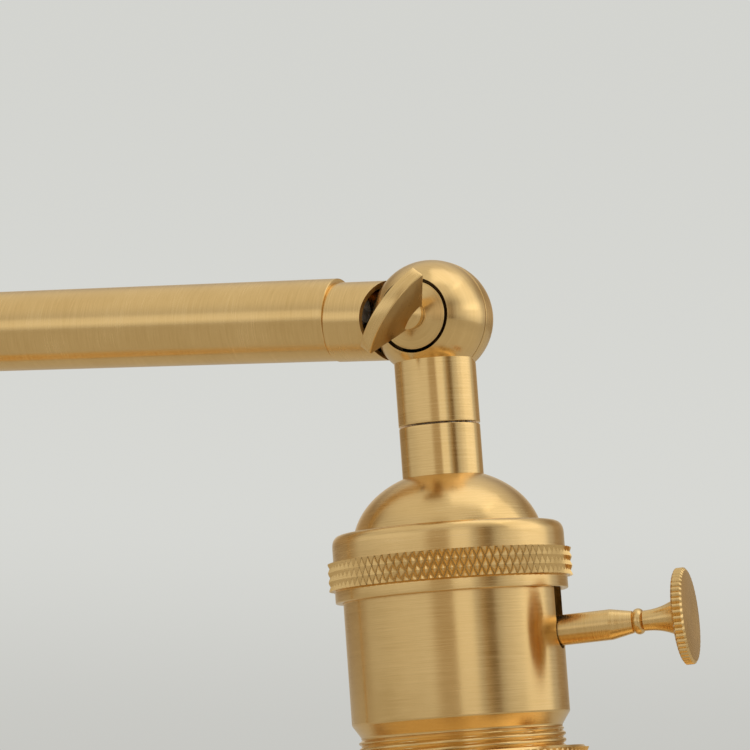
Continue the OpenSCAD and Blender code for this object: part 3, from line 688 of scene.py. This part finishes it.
def wing_screw(place, turn):
    """Wing screw: a leaf-shaped blade between a curved outer edge and a narrow root, extruded by
    its thickness and bevelled, joined to a stem and shank turned about Y."""
    lean = math.radians(turn)
    across = (math.cos(lean), 0, math.sin(lean))
    about_y = turned_frame(place, (0, -1, 0), across)
    half = math.asin(WING_LEN / 2 / WING_EDGE_R)
    mid = WING_OUT - WING_EDGE_R
    edge = np.linspace(half, -half, 41)
    curve = np.column_stack((WING_EDGE_R * np.sin(edge), mid + WING_EDGE_R * np.cos(edge)))
    s = np.linspace(0, 1, 17)[1:-1, None]
    right = np.array((2.5, WING_ROOT))
    side_r = right + (curve[0] - right) * s
    side_l = side_r[::-1] * (-1, 1)
    rim = np.concatenate(([right], side_r, curve, side_l, [right * (-1, 1)]))
    out = np.array((-1, 1)) * WING_T / 2
    loop = np.concatenate((rim, rim[:1]))
    wall = np.empty((len(loop), 2, 3))
    wall[..., 0] = loop[:, None, 0]
    wall[..., 2] = loop[:, None, 1]
    wall[..., 1] = out
    run = np.concatenate(([0], np.cumsum(np.linalg.norm(np.diff(loop, axis=0), axis=1))))
    uv = np.stack(np.broadcast_arrays(run[:, None], np.array([[0, WING_T]])), axis=-1)
    blade = solid("blade", [(wall, uv)], about_y)
    work = bmesh.new()
    work.from_mesh(blade.data)
    rims = [e for e in work.edges if e.is_boundary]
    bmesh.ops.holes_fill(work, edges=rims, sides=0)
    bmesh.ops.recalc_face_normals(work, faces=work.faces)
    work.to_mesh(blade.data)
    work.free()
    flat_uv(blade.data, about_y)
    bevel = blade.modifiers.new("edges", "BEVEL")
    bevel.width = 0.22 * MM
    bevel.segments = 3
    bevel.limit_method = "ANGLE"
    bevel.angle_limit = math.radians(40)
    finished(blade)
    stem = rounded([
        (0, -7.0, 0), (2.1, -7.0, 0), (2.5, -6.6, 0), (2.5, 8.9, 0), (2.75, 9.36, 0), (2.75, 10.7, 0),
        (1.2, 11.5, 0.3), (0, 11.5, 0)])
    carve(blade, solid("stem", [spin(stem, 64)], about_y), "UNION")
    soften(blade, 38)
    return blade


def knuckle(place, arm_place, neck, disc, wing, sleeve, turn):
    """All the visible pieces of one knuckle, each in the place of its CAD node."""
    about_y = turned_frame(place, (0, -1, 0), (1, 0, 0))
    along = turned_frame(arm_place, (-1, 0, 0), (0, 0, 1))
    front = stand_in(front_half(place), neck, brushed_brass("brass_" + neck, place, rough=0.19))
    # painted shade: the faces inside the disc's recess get the near-black coat, so the gap round the disc
    # reads dark
    second_coat(front, RECESS_SHADE, about_y, lambda at, facing: (
        (np.hypot(at[:, 0], at[:, 1]) < RECESS_R + 0.03) & (at[:, 2] > RECESS_FLOOR - 0.1)))
    stand_in(pressure_disc(place), disc, brushed_brass("brass_" + disc, about_y, rough=0.2))
    flat = placed_on(arm_place[0], Z, X)
    wing_brass = brushed_brass("brass_" + wing, about_y, rough=0.24, stretch=0.3)
    screw = stand_in(wing_screw(flat, turn), wing, wing_brass)
    lean = math.radians(turn)
    on_blade = turned_frame(flat, (0, -1, 0), (math.cos(lean), 0, math.sin(lean)))
    # painted shade: both broad faces of the blade get the darker coat, so they read as lying in shadow
    second_coat(screw, BLADE_SHADE, on_blade, lambda at, facing: (
        (np.abs(facing[:, 1]) > 0.95) & (at[:, 2] > 11.6)))
    rear = stand_in(rear_half(arm_place), sleeve, brushed_brass("brass_" + sleeve, along, rough=0.22))
    second_coat(rear, FRESH_CUT, about_y, lambda at, facing: (
        (np.abs(np.hypot(at[:, 0], at[:, 1]) - SADDLE_R) < 0.25) & (np.abs(facing[:, 2]) < 0.5)
        & (np.hypot(facing[:, 0], facing[:, 1]) > 0.9) & (at[:, 2] > -SEAM)
        & (at[:, 0] * facing[:, 0] + at[:, 1] * facing[:, 1] < 0)))


knuckle(ON_HEAD, ON_WRIST, "wrist_neck", "wrist_disc", "wrist_wing_screw", "wrist_sleeve", WING_TURN)
knuckle(ON_SHOULDER, ON_SHOULDER_ARM, "shoulder_neck", "shoulder_disc", "shoulder_wing_screw",
        "shoulder_sleeve", 180 - WING_TURN)


# ---- arm and post ----
def walled_tube(place, radius, bore, low, high, chamfer=0.2):
    """A tube with small chamfers at both ends; its wall is a closed profile."""
    profile = rounded([
        (bore, low, 0), (radius - 2 * chamfer, low, 0), (radius, low, chamfer),
        (radius, low + 3 * chamfer, 0), (radius, high - 3 * chamfer, 0), (radius, high, chamfer),
        (radius - 2 * chamfer, high, 0), (bore, high, 0)])
    return solid("tube", [spin(profile, 144, closed=True)], place)


arm_tube = walled_tube(ON_ARM, TUBE_R, TUBE_R - TUBE_WALL, SLEEVE_LEN, ARM_LEN - SLEEVE_LEN, 0.16)
stand_in(arm_tube, "arm_tube", brushed_brass("brass_arm_tube", ON_ARM, stroke=6.0, rough=0.22, deep=0.6))


# ---- lower neck and cap ----
def lower_neck(place, spigot_r, spigot_len):
    """Lower neck piece: a turned tube with rounded ends and a spigot below."""
    top, end = -LOWER_NECK[0], -LOWER_NECK[1]
    profile = rounded([
        (NIPPLE_BORE, top, 0), (LOWER_NECK_R - 0.4, top, 0), (LOWER_NECK_R, top, 0.14),
        (LOWER_NECK_R, top - 0.6, 0), (LOWER_NECK_R, end, 0), (spigot_r, end, 0),
        (spigot_r, end - spigot_len, 0), (NIPPLE_BORE, end - spigot_len, 0)])
    return solid("lower_neck", [spin(profile, 144, closed=True)], place)


HEAD_BRASS = brushed_brass("brass_head", ON_HEAD, rough=0.22)
NECK_BRASS = brushed_brass("brass_lower_neck", ON_HEAD, rough=0.17)
stand_in(lower_neck(ON_HEAD, 5.5, 3.15), "holder_neck", NECK_BRASS)


def holder_cap():
    """Cap: dome and shoulder turned as one closed sheet-metal profile, with the knurled band and
    the plain lip below it."""
    start = math.degrees(math.asin(LOWER_NECK_R / DOME_R))
    foot = math.degrees(math.acos((DOME_MID - SHOULDER_AT) / DOME_H))
    inner_foot = math.degrees(math.acos((DOME_MID - SHOULDER_AT - CAP_WALL) / (DOME_H - CAP_WALL)))
    mid = (0, -DOME_MID)
    profile = join(
        line((5.5, -LOWER_NECK[1])),
        arc(mid, (DOME_R, DOME_H), 90 - start, 90 - foot, 40),
        rounded([
            (DOME_R, -SHOULDER_AT, 0), (SHOULDER_R, -SHOULDER_AT, 2.3),
            (SHOULDER_R, -BAND_AT + 0.25, 0)], 10),
        rounded([(SHOULDER_R, -BAND_AT + 0.2, 0), (SHOULDER_R, -BAND_AT, 0), (SHOULDER_R, -LIP_AT, 0)]),
        rounded([
            (LIP_R - 0.15, -LIP_AT - 0.05, 0), (LIP_R, -LIP_AT - 0.25, 0.1), (LIP_R, -LIP_END, 0.22),
            (LIP_R - 0.5, -LIP_END, 0)]),
        line(
            (SHELL_R + 0.25, -LIP_END), (SHELL_R + CLOSE_FIT, -LIP_END + 0.4),
            (SHELL_R + CLOSE_FIT, -SHOULDER_AT - CAP_WALL)),
        arc(mid, (DOME_R - CAP_WALL, DOME_H - CAP_WALL), 90 - inner_foot, 55, 20),
        line((9, -LOWER_NECK[1] - CAP_WALL), (5.5, -LOWER_NECK[1] - CAP_WALL)))
    band = knurled(BAND_R, -LIP_AT, -BAND_AT, SHOULDER_R - 1.0)
    return solid("cap", [spin(profile, 192, closed=True), band], ON_HEAD, 30)


cap = stand_in(holder_cap(), "holder_cap", HEAD_BRASS)
# painted shade: faces at the floor of the knurl band's cuts get the darker coat, so the valleys read as
# shadowed
second_coat(cap, KNURL_SHADE, ON_HEAD, lambda at, facing: (
    (at[:, 2] < -BAND_AT) & (at[:, 2] > -LIP_AT) & (facing[:, 2] < 0.9)
    & (np.hypot(at[:, 0], at[:, 1]) > BAND_R - KNURL_DEPTH - 0.05)
    & (np.hypot(at[:, 0], at[:, 1]) < BAND_R - KNURL_DEPTH + 0.1)))


def key_tool(radius, low, high):
    """A cutter along the key's axis."""
    return rod(radius, low, high, ON_KEY, 96)


def holder_shell():
    """Shell: plain wall with its chamfer and the key's slot, then the threaded length."""
    profile = join(line(
        (SHELL_BORE, -SHOULDER_AT - CAP_WALL - 0.1), (SHELL_R, -SHOULDER_AT - CAP_WALL - 0.1)),
        rounded([
            (SHELL_R, -60, 0), (SHELL_R, -CHAMFER_AT, 0.25), (THREAD_ROOT_R, -THREAD_AT, 0.2),
            (THREAD_ROOT_R, -THREAD_AT - 0.3, 0)]),
        line((SHELL_BORE, -THREAD_AT - 0.3)))
    piece = solid("shell", [spin(profile, 256, closed=True)], ON_HEAD)
    turn = math.radians(KEY_TURN)
    slot_frame = turned_frame(ON_HEAD, (0, 0, 1), (math.cos(turn), math.sin(turn), 0))
    half = SLOT_R - 0.4
    carve(piece, block((SHELL_BORE - 4, -half, -KEY_AT), (SHELL_R + 4, half, -30), slot_frame))
    carve(piece, key_tool(SLOT_R, SHELL_BORE - 3, SHELL_R + 3))
    skin = threaded(THREAD_R, -SHELL_END, -THREAD_AT - 0.3, SHELL_BORE, THREAD_PITCH, THREAD_DEPTH)
    thread = solid("thread", [skin], ON_HEAD, 40)
    carve(piece, thread, "UNION")
    soften(piece, 30)
    return piece


SHELL_BRASS = brushed_brass("brass_shell", ON_HEAD, grain=0.14, stroke=9.0)
stand_in(holder_shell(), "holder_shell", SHELL_BRASS)


# ---- switch key ----
def switch_key():
    """Key: stem, taper, bead and trumpet turned about the key's axis, and a disc whose rim is a
    row of rounded flutes: its radius drops between them by the depth times one minus the size of
    a half-rate sine."""
    disc_in = KEY_REACH - KEY_DISC_T
    bead = disc_in - 7.25
    u = np.linspace(0, 1, 17)
    trumpet = np.column_stack((1.8 + 1.78 * u ** 2.2, bead + 0.95 + (7.25 - 0.95) * u))
    stem = join(
        line((0, 18.1), (STEM_R - 0.2, 18.1), (STEM_R, 18.3)),
        rounded([(STEM_R, bead - 5.2, 0), (STEM_R, bead - 4.9, 0.3), (1.95, bead - 1.05, 0)]),
        arc((1.45, bead), (0.85, 0.95), -75, 75, 14),
        trumpet,
        line((3.6, disc_in + 0.2), (0, disc_in + 0.2)))
    flutes, per_flute = 48, 10
    turn = np.linspace(0, 2 * math.pi, flutes * per_flute + 1)[:, None]
    dip = 0.42 * (1 - np.abs(np.sin(turn * flutes / 2)))
    reach = np.array([0, 3.5, 7.7, 7.95, 8.5, 8.5, 8.05, 7.75, 3.5, 0])
    carved = np.array([0, 0, 0, 0.35, 1, 1, 0.35, 0, 0, 0])
    level = np.array([0, 0, 0, 0.04, 0.38, 1.7, 2.03, 2.07, 2.07, 2.07]) + disc_in
    r = reach[None] - dip * carved[None]
    grid = np.stack(np.broadcast_arrays(r * np.cos(turn), r * np.sin(turn), level[None]), axis=-1)
    run = np.concatenate(([0], np.cumsum(np.hypot(np.diff(reach), np.diff(level)))))
    uv = np.stack(np.broadcast_arrays(turn * KEY_DISC_R, run[None]), axis=-1)
    return solid("key", [spin(stem, 96), (grid, uv)], ON_KEY, 28)


stand_in(switch_key(), "switch_key", brushed_brass("brass_key", ON_KEY, stroke=5.0, rough=0.24, stretch=0.5))


# ---- shade rings and shade ----
def shade_ring(low_station):
    """Clamp ring: knurled rim between two small chamfers."""
    top, end = -low_station, -low_station - RING_H
    core = rounded([
        (THREAD_R + 0.1, end, 0), (RING_R - 0.9, end, 0), (RING_R - 0.5, end + 0.5, 0),
        (RING_R - 0.5, top - 0.5, 0), (RING_R - 0.9, top, 0), (THREAD_R + 0.1, top, 0)])
    rim = knurled(RING_R, end + 0.4, top - 0.4, RING_R - 1.2, 90)
    return solid("ring", [spin(core, 144, closed=True), rim], ON_HEAD, 30)


for ring, station in (("upper_shade_ring", RING_AT), ("lower_shade_ring", LOWER_RING_AT)):
    stand_in(shade_ring(station), ring, HEAD_BRASS)


def shade():
    """Spun shade: a quarter ellipse from the flat collar to the mouth, out and back by the
    sheet's thickness, with a rolled bead of 1.4 mm radius round the mouth."""
    depth = SHADE_MOUTH - COLLAR_AT
    height = depth / math.cos(math.asin(COLLAR_R / SHADE_R))
    collar = math.degrees(math.asin(COLLAR_R / SHADE_R))
    inner_r, inner_h = SHADE_R - SHADE_WALL, height - SHADE_WALL
    inner_collar = math.degrees(math.acos((depth - SHADE_WALL) / inner_h))
    mid = (0, -SHADE_MOUTH)
    profile = join(
        rounded([(THREAD_R + 0.2, -COLLAR_AT, 0), (COLLAR_R - 0.6, -COLLAR_AT, 0)]),
        arc(mid, (SHADE_R, height), 90 - collar, 1.4, 90),
        arc((SHADE_R, -SHADE_MOUTH - 0.2), (1.4, 1.4), 66, -248, 28),
        arc(mid, (inner_r, inner_h), 1.6, 90 - inner_collar, 90),
        line((THREAD_R + 0.2, -COLLAR_AT - SHADE_WALL)))
    return solid("shade", [spin(profile, 288, closed=True)], ON_HEAD, 40)


SHADE_BRASS = brushed_brass("brass_shade", ON_HEAD, grain=0.5, stroke=30.0, rough=0.24, stretch=0.6)
stand_in(shade(), "shade", SHADE_BRASS)


# ---- bulb ----
def bulb_cap():
    """Screw cap of the bulb: a coarse rounded thread on a thin tube, closed by a cone below it."""
    top = BULB_THREAD_AT
    thread = threaded(13.1, -top - BULB_THREAD_LEN, -top - 1.2, 11.6, 3.63, 0.7, 144, 14)
    crown = rounded([
        (4.8, -BULB_AT - 1.1, 0), (10.5, -top, 0), (12.0, -top - 0.2, 0.4), (12.4, -top - 1.3, 0),
        (11.6, -top - 1.3, 0), (4.8, -BULB_AT - 2.0, 0)])
    return solid("bulb_cap", [spin(crown, 96, closed=True), thread], ON_HEAD, 40)


def bulb_globe():
    """Globe: a round glass shell. Its neck widens down to the sphere by the power 2.4 of the way,
    and the inner skin is the outer one moved towards the sphere's middle by the wall."""
    wall, neck, throat = 0.8, 12.5, 14.5
    join_at = math.degrees(math.acos(throat / GLOBE_R))
    reach = GLOBE_MID - GLOBE_R * math.sin(math.radians(join_at))
    top = BULB_THREAD_AT + BULB_THREAD_LEN
    u = np.linspace(0, 1, 17)
    blend = neck + (throat - neck) * u ** 2.4
    down = top + (reach - top) * u
    outer = join(
        line((neck, -top + 12)), np.column_stack((blend, -down)),
        arc((0, -GLOBE_MID), (GLOBE_R, GLOBE_R), join_at, -90, 64))
    inner = outer[::-1].copy()
    away = np.column_stack((inner[:, 0], inner[:, 1] + GLOBE_MID))
    size = np.linalg.norm(away, axis=1)[:, None]
    inner = inner - away / size * wall
    inner[:, 0] = np.maximum(inner[:, 0], 0)
    return solid("bulb_globe", [spin(np.concatenate((outer, inner)), 144, closed=True)], ON_HEAD)


def bulb_filaments():
    """Glass stem with a flared foot, and eight light sticks that lean outwards round it."""
    stem = rounded([
        (0, -BULB_AT - 7, 0), (4.6, -BULB_AT - 7, 0.4), (2.6, -BULB_AT - 14, 3),
        (2.4, -GLOBE_MID + 8, 1), (1.2, -GLOBE_MID + 6.5, 0.5),
        (0.5, -GLOBE_MID - 9, 0), (1.6, -GLOBE_MID - 10.5, 0.5), (0, -GLOBE_MID - 11, 0)])
    sheets = [spin(stem, 48)]
    stick = join(arc((0, 9.2), (0.75, 0.75), 90, 0, 6), arc((0, -9.2), (0.75, 0.75), 0, -90, 6))
    for n in range(8):
        turn = 2 * math.pi * n / 8
        grid, uv = spin(stick, 20)
        lean = math.radians(9)
        tilted = grid @ np.array(Euler((0, lean, turn)).to_matrix()).T
        shift = np.array((math.cos(turn) * 4.0, math.sin(turn) * 4.0, -GLOBE_MID))
        sheets.append((tilted + shift, uv))
    return solid("bulb_filaments", sheets, ON_HEAD)


stand_in(bulb_cap(), "bulb_cap", NICKEL)
stand_in(bulb_globe(), "bulb_globe", GLASS)
stand_in(bulb_filaments(), "bulb_filaments", PHOSPHOR)


# ---- leads ----
def braided_lead(place, low, high, lift):
    """The lead along the frame's third axis: a round cord with a ripple of crossing cosines for its
    strands. Over the last 7 mm its path leaves the axis, by lift times the power 1.5 of the share
    of the way; UV counts strands, 24 to the round."""
    bend = 7
    turn = np.linspace(0, 2 * math.pi, 49)
    run = np.linspace(low, high, int((high - low) / 0.5) + 1)
    angle, z = np.meshgrid(turn, run, indexing="ij")
    r = LEAD_R - 0.08 + 0.08 * np.cos(12 * angle + 5.2 * z) * np.cos(12 * angle - 5.2 * z)
    hump = np.array(lift)[None, None] * (np.clip((z - high + bend) / bend, 0, 1) ** 1.5)[..., None]
    skin = np.stack((r * np.cos(angle) + hump[..., 0], r * np.sin(angle) + hump[..., 1], z), axis=-1)
    ends = [np.broadcast_to(np.mean(skin[:-1, j], axis=0), (len(turn), 1, 3)) for j in (0, -1)]
    grid = np.concatenate((ends[0], skin, ends[1]), axis=1)
    along = np.concatenate(([low], run, [high]))
    uv = np.stack(np.broadcast_arrays(24 * 0.6 * turn[:, None] / (2 * math.pi), along[None]), axis=-1)
    return solid("lead", [(grid, uv)], place, 60)


# third axis along the arm, first axis up, second axis towards the back
ON_LEAD = np.asarray(SHOULDER), np.column_stack((Z, Y, X))
stand_in(braided_lead(ON_LEAD, SADDLE_R + 0.6, ARM_LEN - SADDLE_R - 1.4, (1.9, -1.6)), "arm_lead", BRAID)


# ---- post and base ----
POST_LEN = (SHOULDER[2] / MM) - LOWER_NECK[1]
BASE_BRASS = brushed_brass("brass_base", ON_BASE, grain=0.4, stroke=25.0, rough=0.22, stretch=0.6)
POST_BRASS = brushed_brass("brass_post", ON_BASE, stroke=6.0, rough=0.22, deep=0.6)
stand_in(walled_tube(ON_BASE, TUBE_R, TUBE_R - TUBE_WALL, BASE_TOP, POST_LEN), "post_tube", POST_BRASS)
CAP_BRASS = brushed_brass("brass_post_cap", ON_SHOULDER, rough=0.17)
stand_in(lower_neck(ON_SHOULDER, TUBE_R - TUBE_WALL, 11.5), "post_cap", CAP_BRASS)


def post_collar():
    """Collar at the post's foot: a flange, a hollow curve and a bead, one turned profile."""
    z = BASE_TOP
    profile = join(
        line((TUBE_R + CLOSE_FIT, z)),
        rounded([
            (TUBE_R + 6.6, z, 0), (TUBE_R + 7, z, 0.2), (TUBE_R + 7, z + 3, 1.6),
            (TUBE_R + 4.2, z + 3, 0)], 8),
        arc((TUBE_R + 4.2, z + 6.2), (3.2, 3.2), 270, 180, 14),
        line((TUBE_R + 1, z + 7.5)),
        arc((TUBE_R + 0.6, z + 8.6), (1.1, 1.1), -60, 80, 14),
        line((TUBE_R + CLOSE_FIT, z + 10)))
    return solid("collar", [spin(profile, 144, closed=True)], ON_BASE)


def base_cover():
    """Spun cover: outer skin from the rim's foot to the post, then back inside it."""
    rim_h = BASE_TOP - 8.5
    outer = join(
        line((BASE_R, 2.0)),
        rounded([
            (BASE_R, 2.0, 0), (BASE_R, rim_h, 3.0), (BASE_R - 7, rim_h, 0.5),
            (BASE_R - 9, rim_h + 2.2, 1.2), (BASE_R - 13, rim_h + 4.6, 2.5),
            (16, BASE_TOP - 0.15, 4.0), (6.0, BASE_TOP, 0)], 10))
    inner = rounded([
        (6.0, BASE_TOP - 1.2, 0), (16, BASE_TOP - 1.35, 0), (BASE_R - 14, rim_h + 3.3, 0),
        (BASE_R - 10, rim_h + 0.9, 0), (BASE_R - 8, rim_h - 1.2, 0),
        (BASE_R - 1.2, rim_h - 1.2, 1.8), (BASE_R - 1.2, 2.0, 0)])
    return solid("cover", [spin(np.concatenate((outer, inner)), 288, closed=True)], ON_BASE)


def base_felt():
    """Felt pad: a thin disc with a soft edge that wanders by a sine times a cosine of the turn."""
    profile = rounded([(0, 0, 0), (40, 0, 0), (80, 0, 0), (88, 0, 0.7), (88, 2, 0.4), (80, 2, 0), (0, 2, 0)])
    grid, uv = spin(profile, 240)
    turn = np.linspace(0, 2 * math.pi, grid.shape[0])[:, None]
    wander = 1 - 0.0016 * (1 + np.sin(9 * turn + 1) * np.cos(23 * turn))
    grid[..., :2] *= np.where(profile[:, 0] > 85, wander, 1.0)[..., None]
    return solid("felt", [(grid, uv)], ON_BASE)


def cord_bush():
    """Cord bush in the back of the base: a flanged tube turned about Y, with a rounded mouth."""
    mouth = placed_on((0, 0, 0.0075), Y, X)
    profile = rounded([
        (2.7, BASE_R - 6.2, 0), (4, BASE_R - 6.2, 0.3), (4, BASE_R + 0.05, 0),
        (5, BASE_R + 0.05, 0.3), (5, BASE_R + 1.6, 0.5), (2.7, BASE_R + 1.6, 0.5)])
    return solid("bush", [spin(profile, 96, closed=True)], mouth)


stand_in(post_collar(), "post_collar", BASE_BRASS)
stand_in(base_cover(), "base_cover", BASE_BRASS)
stand_in(base_felt(), "base_felt", FELT)
stand_in(cord_bush(), "cord_bush", PHENOLIC)

# ---- finish of the CAD nodes that stay ----
for name, node in frame["nodes"].items():
    coat = COATS[SLOT_OF[name]]
    if not node.data.materials:
        node.data.materials.append(coat)
    for index in range(len(node.data.materials)):
        node.data.materials[index] = coat


# ---- studio ----
VIEW_TURN = math.radians(25.064)
VIEW_RISE = math.radians(-4.367)
VIEW_ROLL = math.radians(0.457)
RIGHT = np.array((math.cos(VIEW_TURN), math.sin(VIEW_TURN), 0))
BACK = np.array((
    math.sin(VIEW_TURN) * math.cos(VIEW_RISE),
    -math.cos(VIEW_TURN) * math.cos(VIEW_RISE),
    math.sin(VIEW_RISE)))
UP = np.cross(BACK, RIGHT)
VIEW_FROM = (0.27159, -0.60450, -0.06073)
VIEW_LENS = 178.3

PALE_SIDE = (0.48, 0.45, 0.40)
SHADE_SIDE = (0.27, 0.21, 0.14)
DIM_SIDE = (0.36, 0.31, 0.25)
DARK_SIDE = (0.14, 0.10, 0.06)
CEILING = (0.71, 0.68, 0.605)
WARM = (0.95, 0.925, 0.86)


def studio_camera():
    """Camera below the wrist ball's height, in front of it and to its right."""
    data = bpy.data.cameras.new("camera")
    data.lens = VIEW_LENS
    data.sensor_width = 36
    data.clip_start = 0.02
    data.clip_end = 60
    camera = bpy.data.objects.new("camera", data)
    across = math.cos(VIEW_ROLL) * RIGHT + math.sin(VIEW_ROLL) * UP
    where = np.array(WRIST) + np.array(VIEW_FROM)
    axes = np.column_stack((across, np.cross(BACK, across), BACK))
    camera.matrix_world = Matrix.Translation(Vector(where)) @ Matrix(axes.tolist()).to_4x4()
    bpy.context.scene.collection.objects.link(camera)
    bpy.context.scene.camera = camera


def studio_world():
    """Surroundings: a plain pale backdrop to the eye; in reflections, soft upright panels of light
    and shade round the lamp, by a ramp over the compass angle times a ramp over the height."""
    world = bpy.data.worlds.new("studio")
    bpy.context.scene.world = world
    world.use_nodes = True
    tree = world.node_tree
    nodes, links = tree.nodes, tree.links
    nodes.clear()
    where = nodes.new("ShaderNodeTexCoord").outputs["Generated"]

    def along(direction):
        """How far the looked-at direction points along another, from -1 to 1."""
        dot = nodes.new("ShaderNodeVectorMath")
        dot.operation = "DOT_PRODUCT"
        links.new(where, dot.inputs[0])
        dot.inputs[1].default_value = direction
        return dot.outputs["Value"]

    def ramp(value, low, high, stops):
        """A colour that runs through the stops as the value goes from low to high."""
        spread = nodes.new("ShaderNodeMapRange")
        spread.inputs["From Min"].default_value = low
        spread.inputs["From Max"].default_value = high
        links.new(value, spread.inputs["Value"])
        band = nodes.new("ShaderNodeValToRGB")
        band.color_ramp.interpolation = "EASE"
        elements = band.color_ramp.elements
        while len(elements) > 1:
            elements.remove(elements[-1])
        for i, (at, tone) in enumerate(stops):
            stop = elements[0] if i == 0 else elements.new((at - low) / (high - low))
            stop.position = (at - low) / (high - low)
            tone = (tone, tone, tone) if isinstance(tone, float) else tone
            stop.color = (*tone, 1)
        links.new(spread.outputs["Result"], band.inputs["Fac"])
        return band.outputs["Color"]

    flat_back = unit((BACK[0], BACK[1], 0))
    angle = nodes.new("ShaderNodeMath")
    angle.operation = "ARCTAN2"
    links.new(along(RIGHT), angle.inputs[0])
    links.new(along(flat_back), angle.inputs[1])
    degrees = nodes.new("ShaderNodeMath")
    degrees.operation = "MULTIPLY"
    degrees.inputs[1].default_value = 180 / math.pi
    links.new(angle.outputs[0], degrees.inputs[0])
    height = along((0, 0, 1))
    panels = ramp(degrees.outputs[0], -180, 180, [
        (-180, PALE_SIDE), (-146, SHADE_SIDE), (-116, SHADE_SIDE), (-98, 0.52), (-60, 0.60), (-30, 0.58),
        (-17, DIM_SIDE), (-3, DIM_SIDE), (2, 0.70), (17, 0.70), (24, 0.40), (31, SHADE_SIDE), (36, DARK_SIDE),
        (41, DARK_SIDE), (46, 0.36), (56, 0.50), (68, 0.56), (82, 0.76), (108, 0.80), (120, 0.42),
        (136, SHADE_SIDE), (152, SHADE_SIDE), (180, PALE_SIDE)])
    rise = ramp(height, -1, 1, [
        (at, tuple(tone * share for share in WARM)) for at, tone in (
            (-1.0, 0.6), (-0.4, 0.68), (-0.1, 0.86), (0.04, 1.2), (0.12, 1.5), (0.3, 1.4),
            (0.45, 1.0), (1.0, 0.95))])
    both = nodes.new("ShaderNodeMix")
    both.data_type = "RGBA"
    both.blend_type = "MULTIPLY"
    both.inputs["Factor"].default_value = 1
    links.new(panels, both.inputs["A"])
    links.new(rise, both.inputs["B"])
    overhead = nodes.new("ShaderNodeMapRange")
    overhead.interpolation_type = "SMOOTHSTEP"
    overhead.inputs["From Min"].default_value = 0.35
    overhead.inputs["From Max"].default_value = 0.8
    links.new(height, overhead.inputs["Value"])
    room = nodes.new("ShaderNodeMix")
    room.data_type = "RGBA"
    room.inputs["B"].default_value = (*CEILING, 1)
    links.new(overhead.outputs["Result"], room.inputs["Factor"])
    links.new(both.outputs["Result"], room.inputs["A"])
    backdrop = ramp(height, -1, 1, [
        (-1.0, (0.56, 0.56, 0.53)), (-0.03, (0.575, 0.575, 0.545)), (0.04, (0.68, 0.685, 0.655)),
        (0.17, (0.655, 0.66, 0.63)), (1.0, (0.64, 0.645, 0.62))])
    path = nodes.new("ShaderNodeLightPath")
    pick = nodes.new("ShaderNodeMix")
    pick.data_type = "RGBA"
    links.new(path.outputs["Is Camera Ray"], pick.inputs["Factor"])
    links.new(room.outputs["Result"], pick.inputs["A"])
    links.new(backdrop, pick.inputs["B"])
    light = nodes.new("ShaderNodeBackground")
    links.new(pick.outputs["Result"], light.inputs["Color"])
    out = nodes.new("ShaderNodeOutputWorld")
    links.new(light.outputs["Background"], out.inputs["Surface"])


def soft_light(name, bearing, rise, distance, size, power, tint=(1, 1, 1)):
    """A square soft light, placed round the wrist by its bearing from the camera and its rise."""
    data = bpy.data.lights.new(name, "AREA")
    data.size = size
    data.energy = power
    data.color = tint
    light = bpy.data.objects.new(name, data)
    turn, lift = math.radians(bearing), math.radians(rise)
    level = math.cos(turn) * unit((BACK[0], BACK[1], 0)) + math.sin(turn) * RIGHT
    away = math.cos(lift) * level + math.sin(lift) * Z
    light.location = Vector(np.array(WRIST) + distance * away)
    light.rotation_euler = Vector(away).to_track_quat("Z", "Y").to_euler()
    bpy.context.scene.collection.objects.link(light)


FLOOR_DARK = (0.66, 0.635, 0.59)
FLOOR_LIGHT = (0.70, 0.675, 0.63)


def studio_floor():
    """A pale round floor, eight metres in radius, with a faint mottle."""
    paint = Paint("pale_floor", (0.7, 0.69, 0.66), 0.0, 0.7)
    local = paint.local(ON_BASE)
    slow = paint.noise(local, 0.004, 3.0)
    colour = paint.mix(paint.spread(slow, 0.0, 1.0), FLOOR_DARK, FLOOR_LIGHT)
    paint.link(colour, paint.shader.inputs["Base Color"])
    floor = solid("floor", [spin(line((0, 0), (400, 0), (2000, 0), (8000, 0)), 96)], ON_BASE)
    floor.data.materials.append(paint.material)


studio_camera()
studio_world()
studio_floor()
soft_light("key_light", 84, 34, 1.3, 1.0, 1.3, (1, 0.97, 0.9))
soft_light("top_light", 95, 72, 1.4, 1.0, 1.6)

bpy.context.scene.view_settings.view_transform = "Standard"
